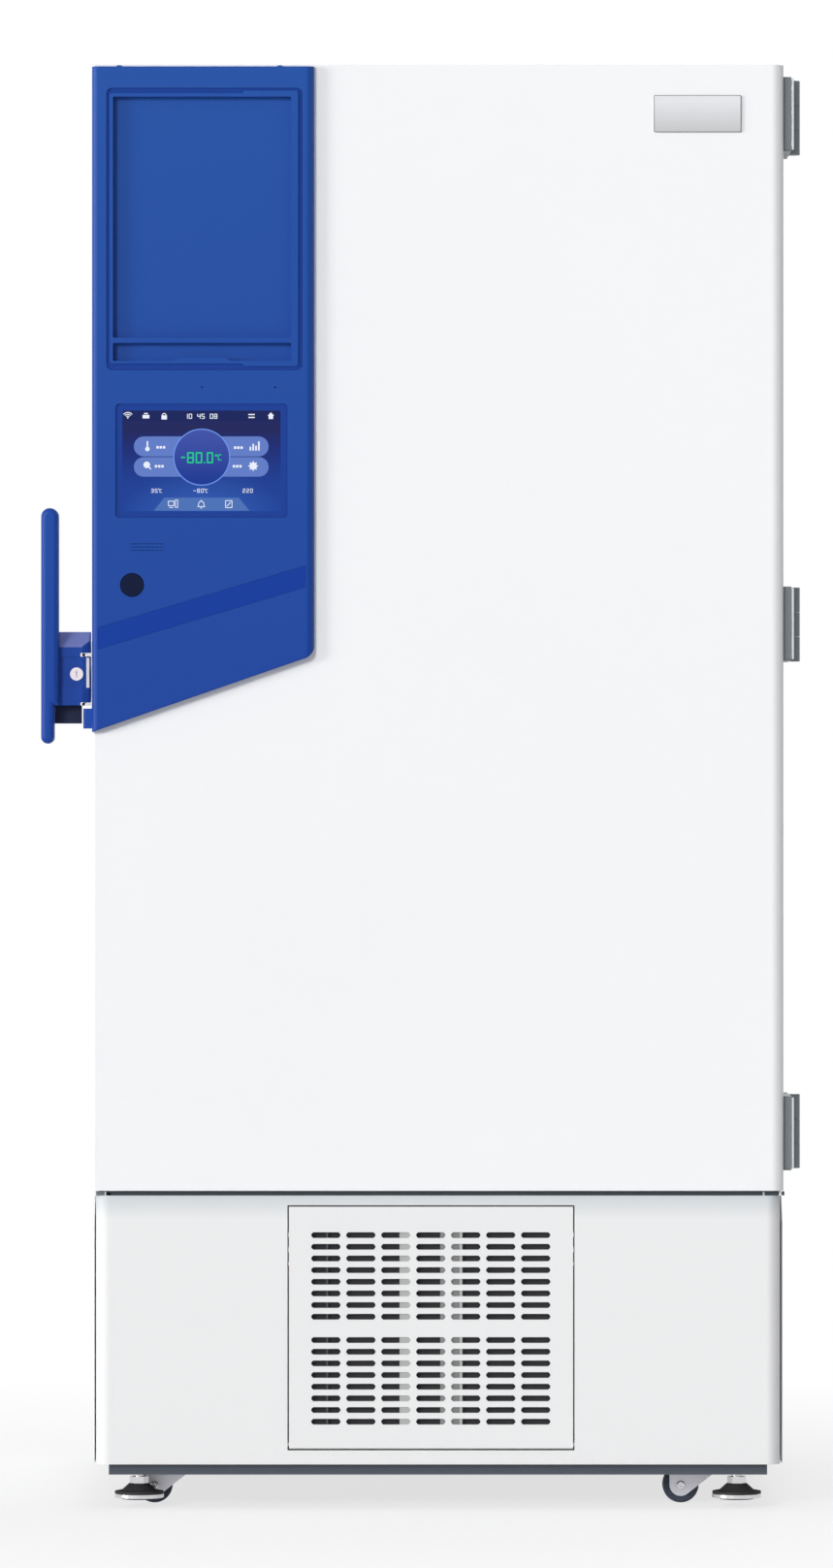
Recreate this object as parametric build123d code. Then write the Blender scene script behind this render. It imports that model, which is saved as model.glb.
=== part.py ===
from build123d import *
import os
from math import acos, atan2, cos, hypot, sin, sqrt

# Upright ultra low temperature freezer on casters, with one insulated outer door.
# Millimetres. X runs to the right as seen from the front, Y runs to the back, Z is up.
# The origin is the middle of the footprint, at floor level.

# Overall size and where the cabinet stands in it
height = 1980.0
depth = 1000.0
body_width = 948.0
handle_reach = 71.0
hinge_reach = 26.0
left = handle_reach - (body_width + handle_reach + hinge_reach) / 2
right = left + body_width
middle = (left + right) / 2
front = -depth / 2
back = depth / 2

# Sheets, clearances and cutting overrun shared by many pieces
sheet = 1.5
plate = 3.0
seat_gap = 0.3
slide_fit = 0.06
overrun = 1.0
port_bore = 12.5
port_wall = 3.0

# Depths of the main layers, front to back
fascia_stand = 14.0
door_thick = 90.0
door_gap = 10.0
spacer_reach = 18.0
door_front = front + fascia_stand
door_back = door_front + door_thick
cabinet_front = door_back + door_gap
cabinet_back = back - spacer_reach

# Heights of the main layers
plinth_bottom = 45.8
plinth_top = 60.4
panel_top = 429.4
door_clearance = 7.3
door_bottom = panel_top + door_clearance

# Chamber inside the cabinet, over the machine bay
deck = 410.0
floor_wall = 130.0
ceiling_wall = 130.0
side_wall = 171.0
rear_wall = 130.0
chamber_left = left + side_wall
chamber_right = right - side_wall
chamber_width = chamber_right - chamber_left
chamber_floor = deck + floor_wall
chamber_top = height - ceiling_wall
chamber_height = chamber_top - chamber_floor
chamber_back = cabinet_back - rear_wall
liner_sheet = 1.0
liner_corner = 12.0
shelf_count = 3
level_height = chamber_height / (shelf_count + 1)


def block(x0, x1, y0, y1, z0, z1):
    """A box between two corners."""
    return Pos((x0 + x1) / 2, (y0 + y1) / 2, (z0 + z1) / 2) * Box(x1 - x0, y1 - y0, z1 - z0)


def post(x, y, z0, z1, radius):
    """An upright round bar."""
    return Pos(x, y, (z0 + z1) / 2) * Cylinder(radius, z1 - z0)


def bar_x(x0, x1, y, z, radius):
    """A round bar along X."""
    return Pos((x0 + x1) / 2, y, z) * Rot(0, 90, 0) * Cylinder(radius, x1 - x0)


def bar_y(x, y0, y1, z, radius):
    """A round bar along Y."""
    return Pos(x, (y0 + y1) / 2, z) * Rot(90, 0, 0) * Cylinder(radius, y1 - y0)


def rounded_front(x0, x1, y0, y1, z0, z1, radius):
    """A slab whose outline, seen from the front, has rounded corners."""
    outline = RectangleRounded(x1 - x0, z1 - z0, radius)
    return Pos((x0 + x1) / 2, y1, (z0 + z1) / 2) * Rot(90, 0, 0) * extrude(outline, amount=y1 - y0)


def rounded_plan(x0, x1, y0, y1, z0, z1, radius):
    """A block whose outline, seen from above, has rounded corners."""
    outline = RectangleRounded(x1 - x0, y1 - y0, radius)
    return Pos((x0 + x1) / 2, (y0 + y1) / 2, z0) * extrude(outline, amount=z1 - z0)


def front_outline(points, y0, y1):
    """A plate drawn from the front as (X, Z) points, between two depths."""
    face = make_face(Polyline(*[(x, y0, z) for x, z in points], close=True))
    return extrude(face, amount=y1 - y0, dir=(0, 1, 0))


def side_outline(points, x0, x1):
    """A plate drawn from the side as (Y, Z) points, between two X planes."""
    face = make_face(Polyline(*[(x0, y, z) for y, z in points], close=True))
    return extrude(face, amount=x1 - x0, dir=(1, 0, 0))


def plan_outline(points, z0, z1):
    """A plate drawn from above as (X, Y) points, between two heights."""
    face = make_face(Polyline(*[(x, y, z0) for x, y in points], close=True))
    return extrude(face, amount=z1 - z0, dir=(0, 0, 1))


def tube(points, bend, radius):
    """A round tube along straight runs joined by bends."""
    path = FilletPolyline(*points, radius=bend)
    start = Plane(path @ 0, z_dir=path % 0)
    return sweep(start * Circle(radius), path=path)


# Cabinet casing
flange = 45.0
shell_corner = 6.0
ear_setback = 30.0
ear_drop = 41.0
ear_rise = 37.0
foot_flange = 30.0
panel_setback = 16.0
panel_front = door_front + panel_setback
ear_front = panel_front + ear_setback


def outer_shell():
    """Folded steel wrap: two sides and a top, a front face ring and the lower side ears."""
    outer = rounded_front(left, right, cabinet_front, cabinet_back, deck, height, shell_corner)
    outer += block(left, right, cabinet_front, cabinet_back, plinth_top, deck + shell_corner)
    inner = block(left + sheet, right - sheet, cabinet_front + sheet, cabinet_back + overrun,
                  plinth_top - overrun, height - sheet)
    shell = outer - inner
    window = block(left + flange, right - flange, cabinet_front - overrun, cabinet_front + plate,
                   deck + flange, height - flange)
    bay = block(left + sheet, right - sheet, cabinet_front - overrun, cabinet_front + plate,
                plinth_top - overrun, deck)
    shell -= window + bay
    ear = [(cabinet_front, plinth_top), (ear_front, plinth_top),
           (ear_front, panel_top - ear_drop), (ear_front + ear_rise, panel_top - ear_drop + ear_rise),
           (cabinet_front, panel_top - ear_drop + ear_rise)]
    shell += side_outline(ear, left, left + sheet)
    shell += side_outline(ear, right - sheet, right)
    for x0, x1 in ((left, left + sheet + foot_flange), (right - sheet - foot_flange, right)):
        shell += block(x0, x1, cabinet_front, cabinet_back - sheet, plinth_top, plinth_top + sheet)
    return shell


# Rear wall
bead_count = 3
bead_radius = 9.0
bead_lift = 3.0
bead_margin = 90.0
spacer_width = 60.0
spacer_height = 90.0
spacer_inset = 130.0
spacer_wall = 4.0
spacer_z_shares = (0.30, 0.86)
port_offset = 170.0
port_drop = 150.0
port_x = middle + port_offset
port_z = chamber_top - port_drop
sleeve_radius = port_bore + port_wall
sleeve_lip = 8.0


def port_hole(y0, y1):
    """The clearance hole for the access port sleeve."""
    return bar_y(port_x, y0 - overrun, y1 + overrun, port_z, sleeve_radius + seat_gap)


def rear_panel():
    """Galvanised back sheet with pressed stiffening beads."""
    skin = block(left + sheet, right - sheet, cabinet_back - sheet, cabinet_back, deck, height - sheet)
    reach = body_width / 2 - spacer_inset - spacer_width
    for number in range(bead_count):
        z = deck + bead_margin + (chamber_floor - deck + number * level_height)
        bead = bar_x(middle - reach, middle + reach, cabinet_back + bead_lift - bead_radius, z,
                     bead_radius)
        skin += bead & block(left, right, cabinet_back, back, deck, height)
    return skin - port_hole(cabinet_back - sheet, back)


def access_port_sleeve():
    """Plastic tube through the insulated back wall, open right through, with a lip at each end."""
    sleeve = bar_y(port_x, chamber_back, cabinet_back, port_z, sleeve_radius)
    sleeve += bar_y(port_x, chamber_back - plate, chamber_back, port_z, sleeve_radius + sleeve_lip)
    sleeve += bar_y(port_x, cabinet_back, cabinet_back + plate, port_z, sleeve_radius + sleeve_lip)
    return sleeve - bar_y(port_x, chamber_back - plate - overrun, cabinet_back + plate + overrun,
                          port_z, port_bore)


def wall_spacers():
    """Four open box bumpers that keep the back off the wall."""
    spacers = []
    for side in (-1, 1):
        for share in spacer_z_shares:
            x = middle + side * (body_width / 2 - spacer_inset)
            z = height * share
            box = rounded_front(x - spacer_width / 2, x + spacer_width / 2, cabinet_back, back,
                                z - spacer_height / 2, z + spacer_height / 2, spacer_wall)
            box -= block(x - spacer_width / 2 + spacer_wall, x + spacer_width / 2 - spacer_wall,
                         cabinet_back + spacer_wall, back + overrun,
                         z - spacer_height / 2 + spacer_wall, z + spacer_height / 2 - spacer_wall)
            spacers.append(box)
    return Compound(spacers)


# Insulation, cold liner and the coil wound round it
coil_radius = 5.0
coil_turns = 5
coil_front = 60.0
coil_margin = 70.0
foam_gap = 2 * coil_radius + seat_gap
breaker_thick = 4.0


def insulation():
    """Foam between the casing and the cold liner, with room for the coil."""
    foam = block(left + sheet, right - sheet, cabinet_front + breaker_thick, cabinet_back - sheet,
                 deck, height - sheet)
    room = liner_sheet + foam_gap
    foam -= block(chamber_left - room, chamber_right + room, cabinet_front - overrun,
                  chamber_back + room, chamber_floor - liner_sheet, chamber_top + liner_sheet)
    return foam - port_hole(chamber_back, cabinet_back)


def inner_liner():
    """Cold chamber box, open at the front, with rounded back corners."""
    start = cabinet_front + breaker_thick
    outer = block(chamber_left - liner_sheet, chamber_right + liner_sheet, start,
                  chamber_back + liner_sheet, chamber_floor - liner_sheet, chamber_top + liner_sheet)
    outer = fillet(outer.edges().filter_by(Axis.Z).group_by(Axis.Y)[-1], liner_corner + liner_sheet)
    inner = block(chamber_left, chamber_right, start - overrun, chamber_back, chamber_floor, chamber_top)
    corners = inner.edges().filter_by(Axis.Z).group_by(Axis.Y)[-1]
    return outer - fillet(corners, liner_corner) - port_hole(chamber_back, cabinet_back)


def evaporator_coil():
    """Copper tube wound to and fro round the sides and back of the liner."""
    x = chamber_width / 2 + liner_sheet + coil_radius + seat_gap / 2
    y_back = chamber_back + liner_sheet + coil_radius + seat_gap / 2
    y_front = cabinet_front + coil_front
    pitch = (chamber_height - 2 * coil_margin) / (coil_turns - 1)
    points = []
    for turn in range(coil_turns):
        side = -1 if turn % 2 == 0 else 1
        z = chamber_floor + coil_margin + turn * pitch
        points += [(middle + side * x, y_front, z), (middle + side * x, y_back, z),
                   (middle - side * x, y_back, z), (middle - side * x, y_front, z)]
    bend = liner_corner + liner_sheet + coil_radius + seat_gap / 2
    return tube(points, bend, coil_radius)


# Breaker frame round the chamber mouth, with the ledge that the inner doors close on
breaker_wall = 3.0
ledge_width = 18.0
ledge_thick = 8.0
mullion_height = 46.0
inner_setback = 16.0
inner_thick = 45.0
seal_thick = 3.0
inner_front = cabinet_front + inner_setback
inner_back = inner_front + inner_thick
ledge_front = inner_back + seal_thick
ledge_back = ledge_front + ledge_thick
mullion_z = chamber_floor + chamber_height / 2
mouth_left = chamber_left + breaker_wall
mouth_right = chamber_right - breaker_wall
mouth_levels = ((chamber_floor + breaker_wall, mullion_z - mullion_height / 2),
                (mullion_z + mullion_height / 2, chamber_top - breaker_wall))

# Inner door pivots
inner_gap = 3.0
pivot_inset = 8.0
pivot_depth = 6.0
pivot_radius = 3.0
lug_thick = 2.4
lug_reach = 9.0
inner_left = mouth_left + inner_gap
inner_right = mouth_right - inner_gap
inner_pivot_x = inner_right - pivot_inset
inner_pivot_y = inner_front + pivot_depth


def breaker_frame():
    """Plastic ring that bridges casing and liner, with ledge, mullion and inner door lugs."""
    ring = block(left + flange, right - flange, cabinet_front, cabinet_front + breaker_thick,
                 deck + flange, height - flange)
    ring += block(chamber_left, chamber_right, cabinet_front, ledge_back, chamber_floor, chamber_top)
    for z0, z1 in mouth_levels:
        ring -= block(mouth_left, mouth_right, cabinet_front - overrun, ledge_front, z0, z1)
        ring -= block(mouth_left + ledge_width, mouth_right - ledge_width, ledge_front - overrun,
                      ledge_back + overrun, z0 + ledge_width, z1 - ledge_width)
        for z in (z0, z1 - lug_thick):
            lug = block(inner_pivot_x - lug_reach, mouth_right, inner_pivot_y - pivot_depth,
                        inner_pivot_y + lug_reach, z, z + lug_thick)
            ring += lug - post(inner_pivot_x, inner_pivot_y, z - overrun, z + lug_thick + overrun,
                               pivot_radius + slide_fit)
    return ring


seal_width = 12.0
seal_inset = 3.0


def inner_seals():
    """Soft rings on the ledge behind the two inner doors."""
    seals = []
    for z0, z1 in mouth_levels:
        x0, x1 = mouth_left + seal_inset, mouth_right - seal_inset
        outer = block(x0, x1, ledge_front - seal_thick + seat_gap, ledge_front,
                      z0 + seal_inset, z1 - seal_inset)
        seals.append(outer - block(x0 + seal_width, x1 - seal_width, inner_front, ledge_back,
                                   z0 + seal_inset + seal_width, z1 - seal_inset - seal_width))
    return Compound(seals)


inner_corner = 6.0
pull_width = 22.0
pull_height = 90.0
pull_stand = 13.0
pull_round = 4.0
pull_inset = 24.0


def inner_door(level):
    """Insulated inner door with pivot stubs, a pull at the free edge and a heel rounded to swing."""
    z0, z1 = mouth_levels[level]
    z0 += inner_gap
    z1 -= inner_gap
    door = rounded_front(inner_left, inner_right, inner_front, inner_back, z0, z1, inner_corner)
    heel = block(inner_pivot_x, inner_right, inner_pivot_y, inner_back, z0, z1)
    door -= heel - post(inner_pivot_x, inner_pivot_y, z0, z1, inner_back - inner_pivot_y)
    door += post(inner_pivot_x, inner_pivot_y, z0 - inner_gap + seat_gap, z1 + inner_gap - seat_gap,
                 pivot_radius)
    x = inner_left + pull_inset
    z = (z0 + z1) / 2
    pull = block(x, x + pull_width, inner_front - pull_stand, inner_front, z - pull_height / 2,
                 z + pull_height / 2)
    return door + fillet(pull.faces().sort_by(Axis.Y)[0].edges(), pull_round)


# Shelves and the rails that carry them
shelf_sheet = 2.0
shelf_gap = 4.0
shelf_lip = 18.0
rail_width = 24.0
rail_thick = 2.0
rail_y_shares = (0.16, 0.84)
clip_reach = 14.0
clip_height = 12.0
shelf_front = ledge_back + inner_gap
shelf_back = chamber_back - liner_corner
vent_slots = 5
vent_width = 10.0


def shelf_heights():
    """Top surface of each shelf, from the bottom up."""
    return [chamber_floor + (number + 1) * level_height for number in range(shelf_count)]


def shelves():
    """Three stainless shelves with turned-down edges and air slots."""
    trays = []
    x0, x1 = chamber_left + shelf_gap, chamber_right - shelf_gap
    slot_pitch = (x1 - x0) / vent_slots
    for top in shelf_heights():
        tray = block(x0, x1, shelf_front, shelf_back, top - shelf_sheet, top)
        for y in (shelf_front, shelf_back - shelf_sheet):
            tray += block(x0 + clip_reach, x1 - clip_reach, y, y + shelf_sheet, top - shelf_lip, top)
        for slot in range(vent_slots):
            x = x0 + slot_pitch * (slot + 1 / 2)
            tray -= rounded_plan(x - vent_width / 2, x + vent_width / 2, shelf_front + level_height / 2,
                                 shelf_back - level_height / 2, top - shelf_lip, top + overrun,
                                 vent_width / 2 - seat_gap)
        trays.append(tray)
    return Compound(trays)


def shelf_supports():
    """Four upright rails on the side walls, with a clip under each shelf corner."""
    rails = []
    for share in rail_y_shares:
        y = shelf_front + (shelf_back - shelf_front) * share
        for wall, inward in ((chamber_left, 1), (chamber_right, -1)):
            x0, x1 = sorted((wall, wall + inward * rail_thick))
            rail = block(x0, x1, y - rail_width / 2, y + rail_width / 2,
                         chamber_floor, chamber_top)
            for top in shelf_heights():
                x0, x1 = sorted((wall, wall + inward * clip_reach))
                rail += block(x0, x1, y - rail_width / 2, y + rail_width / 2,
                              top - shelf_sheet - clip_height, top - shelf_sheet)
            rails.append(rail)
    return Compound(rails)


# Base frame with the caster and foot fixings
plinth_inset = 22.0
plinth_setback = 8.0
caster_inset = 110.0
caster_setback = 110.0
caster_rear_inset = 82.0
caster_spread = body_width / 2 - caster_inset
caster_front_y = panel_front + caster_setback
caster_rear_y = cabinet_back - caster_rear_inset
caster_plate = 72.0
king_radius = 6.0
foot_inset = 63.0
foot_setback = 30.0
foot_spread = body_width / 2 - foot_inset
foot_y = panel_front + foot_setback
stud_radius = 6.0
boss_radius = 12.0
fork_top = plinth_bottom - seat_gap
caster_places = [("front_left", middle - caster_spread, caster_front_y),
                 ("front_right", middle + caster_spread, caster_front_y),
                 ("rear_left", middle - caster_spread, caster_rear_y),
                 ("rear_right", middle + caster_spread, caster_rear_y)]
foot_places = [("left", middle - foot_spread, foot_y), ("right", middle + foot_spread, foot_y)]
deck_under = plinth_top - plate
cross_width = 40.0


def base_frame():
    """Folded tray with cross members, caster plates with their kingpins, and foot nuts."""
    x0, x1 = left + plinth_inset, right - plinth_inset
    y0, y1 = panel_front + plinth_setback, cabinet_back - plinth_setback
    tray = block(x0, x1, y0, y1, plinth_bottom, plinth_top)
    tray -= block(x0 + plate, x1 - plate, y0 + plate, y1 - plate, plinth_bottom - overrun, deck_under)
    tray += block(middle - cross_width / 2, middle + cross_width / 2, y0, y1, plinth_bottom, deck_under)
    for name, x, y in caster_places:
        tray += block(x - caster_plate / 2, x + caster_plate / 2, y - caster_plate / 2,
                      y + caster_plate / 2, deck_under - plate, deck_under)
        tray += post(x, y, fork_top - plate - seat_gap, deck_under, king_radius)
    for name, x, y in foot_places:
        tray += post(x, y, plinth_bottom, deck_under, boss_radius)
        tray -= post(x, y, plinth_bottom - overrun, plinth_top + overrun, stud_radius + slide_fit)
    return tray


# Casters: the forks trail to the left, as they stand in use
wheel_radius = 25.0
wheel_width = 22.0
wheel_trail = 28.0
axle_radius = 4.0
fork_sheet = 3.0
fork_gap = 1.2
fork_nose = 15.5
fork_reach = 23.6
race_radius = 18.0
tyre_chamfer = 2.5
hub_radius = 15.0
hub_step = 2.0


def caster_fork(x, y):
    """Pressed fork with raceway cup, two cheeks drawn round the axle, and the axle itself."""
    axle_x = x - wheel_trail
    tip_x, tip_z = x + fork_reach, fork_top
    away = hypot(tip_x - axle_x, tip_z - wheel_radius)
    angle = atan2(tip_z - wheel_radius, tip_x - axle_x) - acos(fork_nose / away)
    touch = (axle_x + fork_nose * cos(angle), wheel_radius + fork_nose * sin(angle))
    outline = [(axle_x - fork_nose, tip_z), (tip_x, tip_z), touch, (axle_x, wheel_radius),
               (axle_x - fork_nose, wheel_radius)]
    half = wheel_width / 2 + fork_gap
    fork = block(axle_x - fork_nose, tip_x, y - half - fork_sheet, y + half + fork_sheet,
                 fork_top - fork_sheet, fork_top)
    wheel_room = bar_y(axle_x, y - half, y + half, wheel_radius, wheel_radius + fork_gap)
    fork -= wheel_room
    for y0 in (y - half - fork_sheet, y + half):
        fork += front_outline(outline, y0, y0 + fork_sheet)
        fork += bar_y(axle_x, y0, y0 + fork_sheet, wheel_radius, fork_nose)
    fork += post(x, y, fork_top, deck_under - plate - seat_gap, race_radius) - wheel_room
    fork -= post(x, y, fork_top - fork_sheet - overrun, deck_under, king_radius + slide_fit)
    return fork + bar_y(axle_x, y - half, y + half, wheel_radius, axle_radius)


def caster_wheel(x, y):
    """Solid wheel with a recessed hub, bored for the axle."""
    axle_x = x - wheel_trail
    tyre = bar_y(axle_x, y - wheel_width / 2, y + wheel_width / 2, wheel_radius, wheel_radius)
    tyre = chamfer(tyre.edges().filter_by(GeomType.CIRCLE), tyre_chamfer)
    for y0, y1 in ((y - wheel_width / 2 - overrun, y - wheel_width / 2 + hub_step),
                   (y + wheel_width / 2 - hub_step, y + wheel_width / 2 + overrun)):
        tyre -= bar_y(axle_x, y0, y1, wheel_radius, hub_radius)
    return tyre - bar_y(axle_x, y - wheel_width, y + wheel_width, wheel_radius,
                        axle_radius + slide_fit)


# Levelling feet, wound up clear of the floor
pad_bottom = 11.0
pad_radius = 23.5
lug_ring_radius = 33.5
lug_ring_bottom = 16.6
lug_ring_top = 22.0
dome_top = 32.5
dome_radius = 14.0
hex_top = 41.8
hex_radius = 13.0
neck_radius = 5.0
neck_bottom = 20.0
stud_top = 82.0


def foot_pad(x, y):
    """Turned foot: tread pad, wide collar and domed socket, as one revolved section."""
    bore = neck_radius + slide_fit
    section = [(0, pad_bottom), (pad_radius, pad_bottom), (pad_radius, lug_ring_bottom),
               (lug_ring_radius, lug_ring_bottom), (lug_ring_radius, lug_ring_top),
               (pad_radius, lug_ring_top + hub_step), (dome_radius, dome_top), (bore, dome_top),
               (bore, neck_bottom - seat_gap), (0, neck_bottom - seat_gap)]
    face = make_face(Polyline(*[(x + r, y, z) for r, z in section], close=True))
    return revolve(face, axis=Axis((x, y, 0), (0, 0, 1)))


def foot_screw(x, y):
    """Threaded stud with its spanner hexagon, turning in the pad's socket."""
    hexagon = Pos(x, y, dome_top + seat_gap) * extrude(RegularPolygon(hex_radius, 6),
                                                      amount=hex_top - dome_top)
    return hexagon + post(x, y, neck_bottom, hex_top, neck_radius) + post(x, y, hex_top, stud_top,
                                                                         stud_radius)


# Lower front panel and its hinged grille
panel_inset = 4.0
panel_corner = 18.0
panel_sheet = 2.0
grille_width = 390.0
grille_height = 332.5
grille_offset = -9.6
grille_base = 21.2
grille_gap = 2.0
return_depth = 34.0
grille_x0 = middle + grille_offset - grille_width / 2
grille_x1 = grille_x0 + grille_width
grille_z0 = plinth_top + grille_base
grille_z1 = grille_z0 + grille_height
grille_pin_inset = 6.0
grille_pivot_y = panel_front + grille_pin_inset
grille_pivot_z = grille_z0 + grille_pin_inset
grille_pin = 3.0
grille_pin_end = 5.0


def lower_front_panel():
    """Folded front panel with rounded uprights and a framed opening for the grille."""
    x0, x1 = left + panel_inset, right - panel_inset
    panel = block(x0, x1, panel_front, cabinet_front, plinth_top, panel_top)
    panel = fillet(panel.edges().filter_by(Axis.Z).group_by(Axis.Y)[0], panel_corner)
    room = block(x0 + panel_sheet, x1 - panel_sheet, panel_front + panel_sheet,
                 cabinet_front + overrun, plinth_top - overrun, panel_top - panel_sheet)
    room = fillet(room.edges().filter_by(Axis.Z).group_by(Axis.Y)[0], panel_corner - panel_sheet)
    panel -= room
    panel += block(x0 + panel_corner, x1 - panel_corner, panel_front, panel_front + panel_corner,
                   plinth_top, plinth_top + panel_sheet)
    gx0, gx1 = grille_x0 - grille_gap, grille_x1 + grille_gap
    gz0, gz1 = grille_z0 - grille_gap, grille_z1 + grille_gap
    panel += block(gx0 - panel_sheet, gx1 + panel_sheet, panel_front + panel_sheet,
                   panel_front + return_depth, gz0 - panel_sheet, gz1 + panel_sheet)
    panel -= block(gx0, gx1, panel_front - overrun, panel_front + return_depth + overrun, gz0, gz1)
    return panel - bar_x(gx0 - grille_pin_end, gx1 + grille_pin_end, grille_pivot_y, grille_pivot_z,
                         grille_pin + slide_fit)


# Grille slots
slot_columns = 7
slot_rows = 8
slot_width = 40.0
slot_height = 8.0
slot_pitch_x = 48.0
slot_pitch_z = 16.0
slot_chamfer = 2.6
slot_left = 30.7
slot_low = 37.5
group_gap = 32.0
grille_sheet = 3.0
grille_rim = 9.0
grille_foot_round = 2.5


def grille_slot(x, z):
    """One slot as seen from the front, with cut corners."""
    w, h, c = slot_width / 2, slot_height / 2, slot_chamfer
    points = [(x - w + c, z - h), (x + w - c, z - h), (x + w, z - h + c), (x + w, z + h - c),
              (x + w - c, z + h), (x - w + c, z + h), (x - w, z + h - c), (x - w, z - h + c)]
    return front_outline(points, panel_front - overrun, panel_front + grille_sheet + overrun)


def grille_panel():
    """Slotted drop-down grille door in two banks of slots, with a folded rim and end pins.

    Its lower front edge is rounded, so that it turns clear of the panel below it.
    """
    door = block(grille_x0, grille_x1, panel_front, panel_front + grille_sheet + grille_rim,
                 grille_z0, grille_z1)
    foot_edge = door.edges().filter_by(Axis.X).group_by(Axis.Z)[0].sort_by(Axis.Y)[0]
    door = fillet(foot_edge, grille_foot_round)
    door -= block(grille_x0 + grille_sheet, grille_x1 - grille_sheet, panel_front + grille_sheet,
                  panel_front + grille_sheet + grille_rim + overrun,
                  grille_z0 + grille_sheet, grille_z1 - grille_sheet)
    slots = []
    for column in range(slot_columns):
        x = grille_x0 + slot_left + slot_width / 2 + column * slot_pitch_x
        for row in range(2 * slot_rows):
            z = grille_z0 + slot_low + row * slot_pitch_z + (row // slot_rows) * (group_gap - slot_pitch_z)
            slots.append(grille_slot(x, z))
    door -= slots
    for x0, x1 in ((grille_x0 - grille_gap - panel_sheet, grille_x0 + grille_rim),
                   (grille_x1 - grille_rim, grille_x1 + grille_gap + panel_sheet)):
        door += bar_x(x0, x1, grille_pivot_y, grille_pivot_z, grille_pin)
    return door


filter_thick = 9.0
filter_rim = 12.0
filter_mesh = 2.0
rib_places_share = (0.128, 0.408, 0.573)
rib_widths_share = (0.008, 0.042, 0.080)


def air_filter():
    """Washable filter clipped behind the grille: a rimmed mesh with upright ribs."""
    x0, x1 = grille_x0 + grille_sheet + seat_gap, grille_x1 - grille_sheet - seat_gap
    z0, z1 = grille_z0 + grille_rim + seat_gap, grille_z1 - grille_sheet - seat_gap
    y0 = panel_front + grille_sheet
    y1 = y0 + filter_thick
    body = block(x0, x1, y0, y1, z0, z1)
    body -= block(x0 + filter_rim, x1 - filter_rim, y0 - overrun, y1 - filter_mesh,
                  z0 + filter_rim, z1 - filter_rim)
    for place, width in zip(rib_places_share, rib_widths_share):
        x, half = x0 + (x1 - x0) * place, (x1 - x0) * width / 2
        body += block(x - half, x + half, y0, y1, z0, z1)
    return body


# Back of the machine bay
louvre_rows = 9
louvre_columns = 3
louvre_width = 150.0
louvre_height = 7.0
louvre_pitch_x = 190.0
louvre_pitch_z = 22.0
louvre_low = 90.0
inlet_width = 50.0
inlet_height = 28.0
inlet_depth = 34.0
inlet_lip = 6.0
inlet_inset = 150.0
inlet_rise = 36.0
inlet_x = right - inlet_inset
inlet_z = plinth_top + inlet_rise
rocker_width = 18.0
rocker_height = 24.0
rocker_stand = 5.0
rocker_depth = 12.0
rocker_pin = 2.0
switch_gap = 52.0
switch_x = inlet_x - switch_gap
switch_room = 0.6


def rear_grille():
    """Slotted cover over the back of the machine bay, cut for the inlet and the switch."""
    y0, y1 = cabinet_back - sheet, cabinet_back
    cover = block(left + sheet, right - sheet, y0, y1, plinth_top, deck - seat_gap)
    for column in range(louvre_columns):
        x = middle + (column - (louvre_columns - 1) / 2) * louvre_pitch_x
        for row in range(louvre_rows):
            z = plinth_top + louvre_low + row * louvre_pitch_z
            cover -= block(x - louvre_width / 2, x + louvre_width / 2, y0 - overrun, y1 + overrun,
                           z - louvre_height / 2, z + louvre_height / 2)
    cover -= block(inlet_x - inlet_width / 2, inlet_x + inlet_width / 2, y0 - overrun, y1 + overrun,
                   inlet_z - inlet_height / 2, inlet_z + inlet_height / 2)
    w, h = rocker_width / 2 + switch_room + plate, rocker_height / 2 + switch_room + plate
    return cover - block(switch_x - w, switch_x + w, y0 - overrun, y1 + overrun, inlet_z - h, inlet_z + h)


def power_inlet():
    """Flanged mains inlet with three blades in a shrouded well, and the switch housing beside it."""
    w, h = inlet_width / 2, inlet_height / 2
    body = block(inlet_x - w, inlet_x + w, cabinet_back - inlet_depth, cabinet_back,
                 inlet_z - h, inlet_z + h)
    body += rounded_front(inlet_x - w - inlet_lip, inlet_x + w + inlet_lip, cabinet_back,
                          cabinet_back + plate, inlet_z - h - inlet_lip, inlet_z + h + inlet_lip, inlet_lip)
    body -= block(inlet_x - w + plate, inlet_x + w - plate, cabinet_back - inlet_depth + plate,
                  cabinet_back + plate + overrun, inlet_z - h + plate, inlet_z + h - plate)
    for number in (-1, 0, 1):
        x = inlet_x + number * inlet_width / 4
        body += block(x - plate / 2, x + plate / 2, cabinet_back - inlet_depth, cabinet_back - plate,
                      inlet_z - plate, inlet_z + plate)
    w, h = rocker_width / 2 + switch_room, rocker_height / 2 + switch_room
    case = block(switch_x - w - plate, switch_x + w + plate, cabinet_back - inlet_depth,
                 cabinet_back + plate, inlet_z - h - plate, inlet_z + h + plate)
    case -= block(switch_x - w, switch_x + w, cabinet_back - rocker_depth - plate,
                  cabinet_back + plate + overrun, inlet_z - h, inlet_z + h)
    case -= bar_x(switch_x - w - plate, switch_x + w + plate, cabinet_back, inlet_z,
                  rocker_pin + slide_fit)
    return Compound([body, case])


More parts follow.
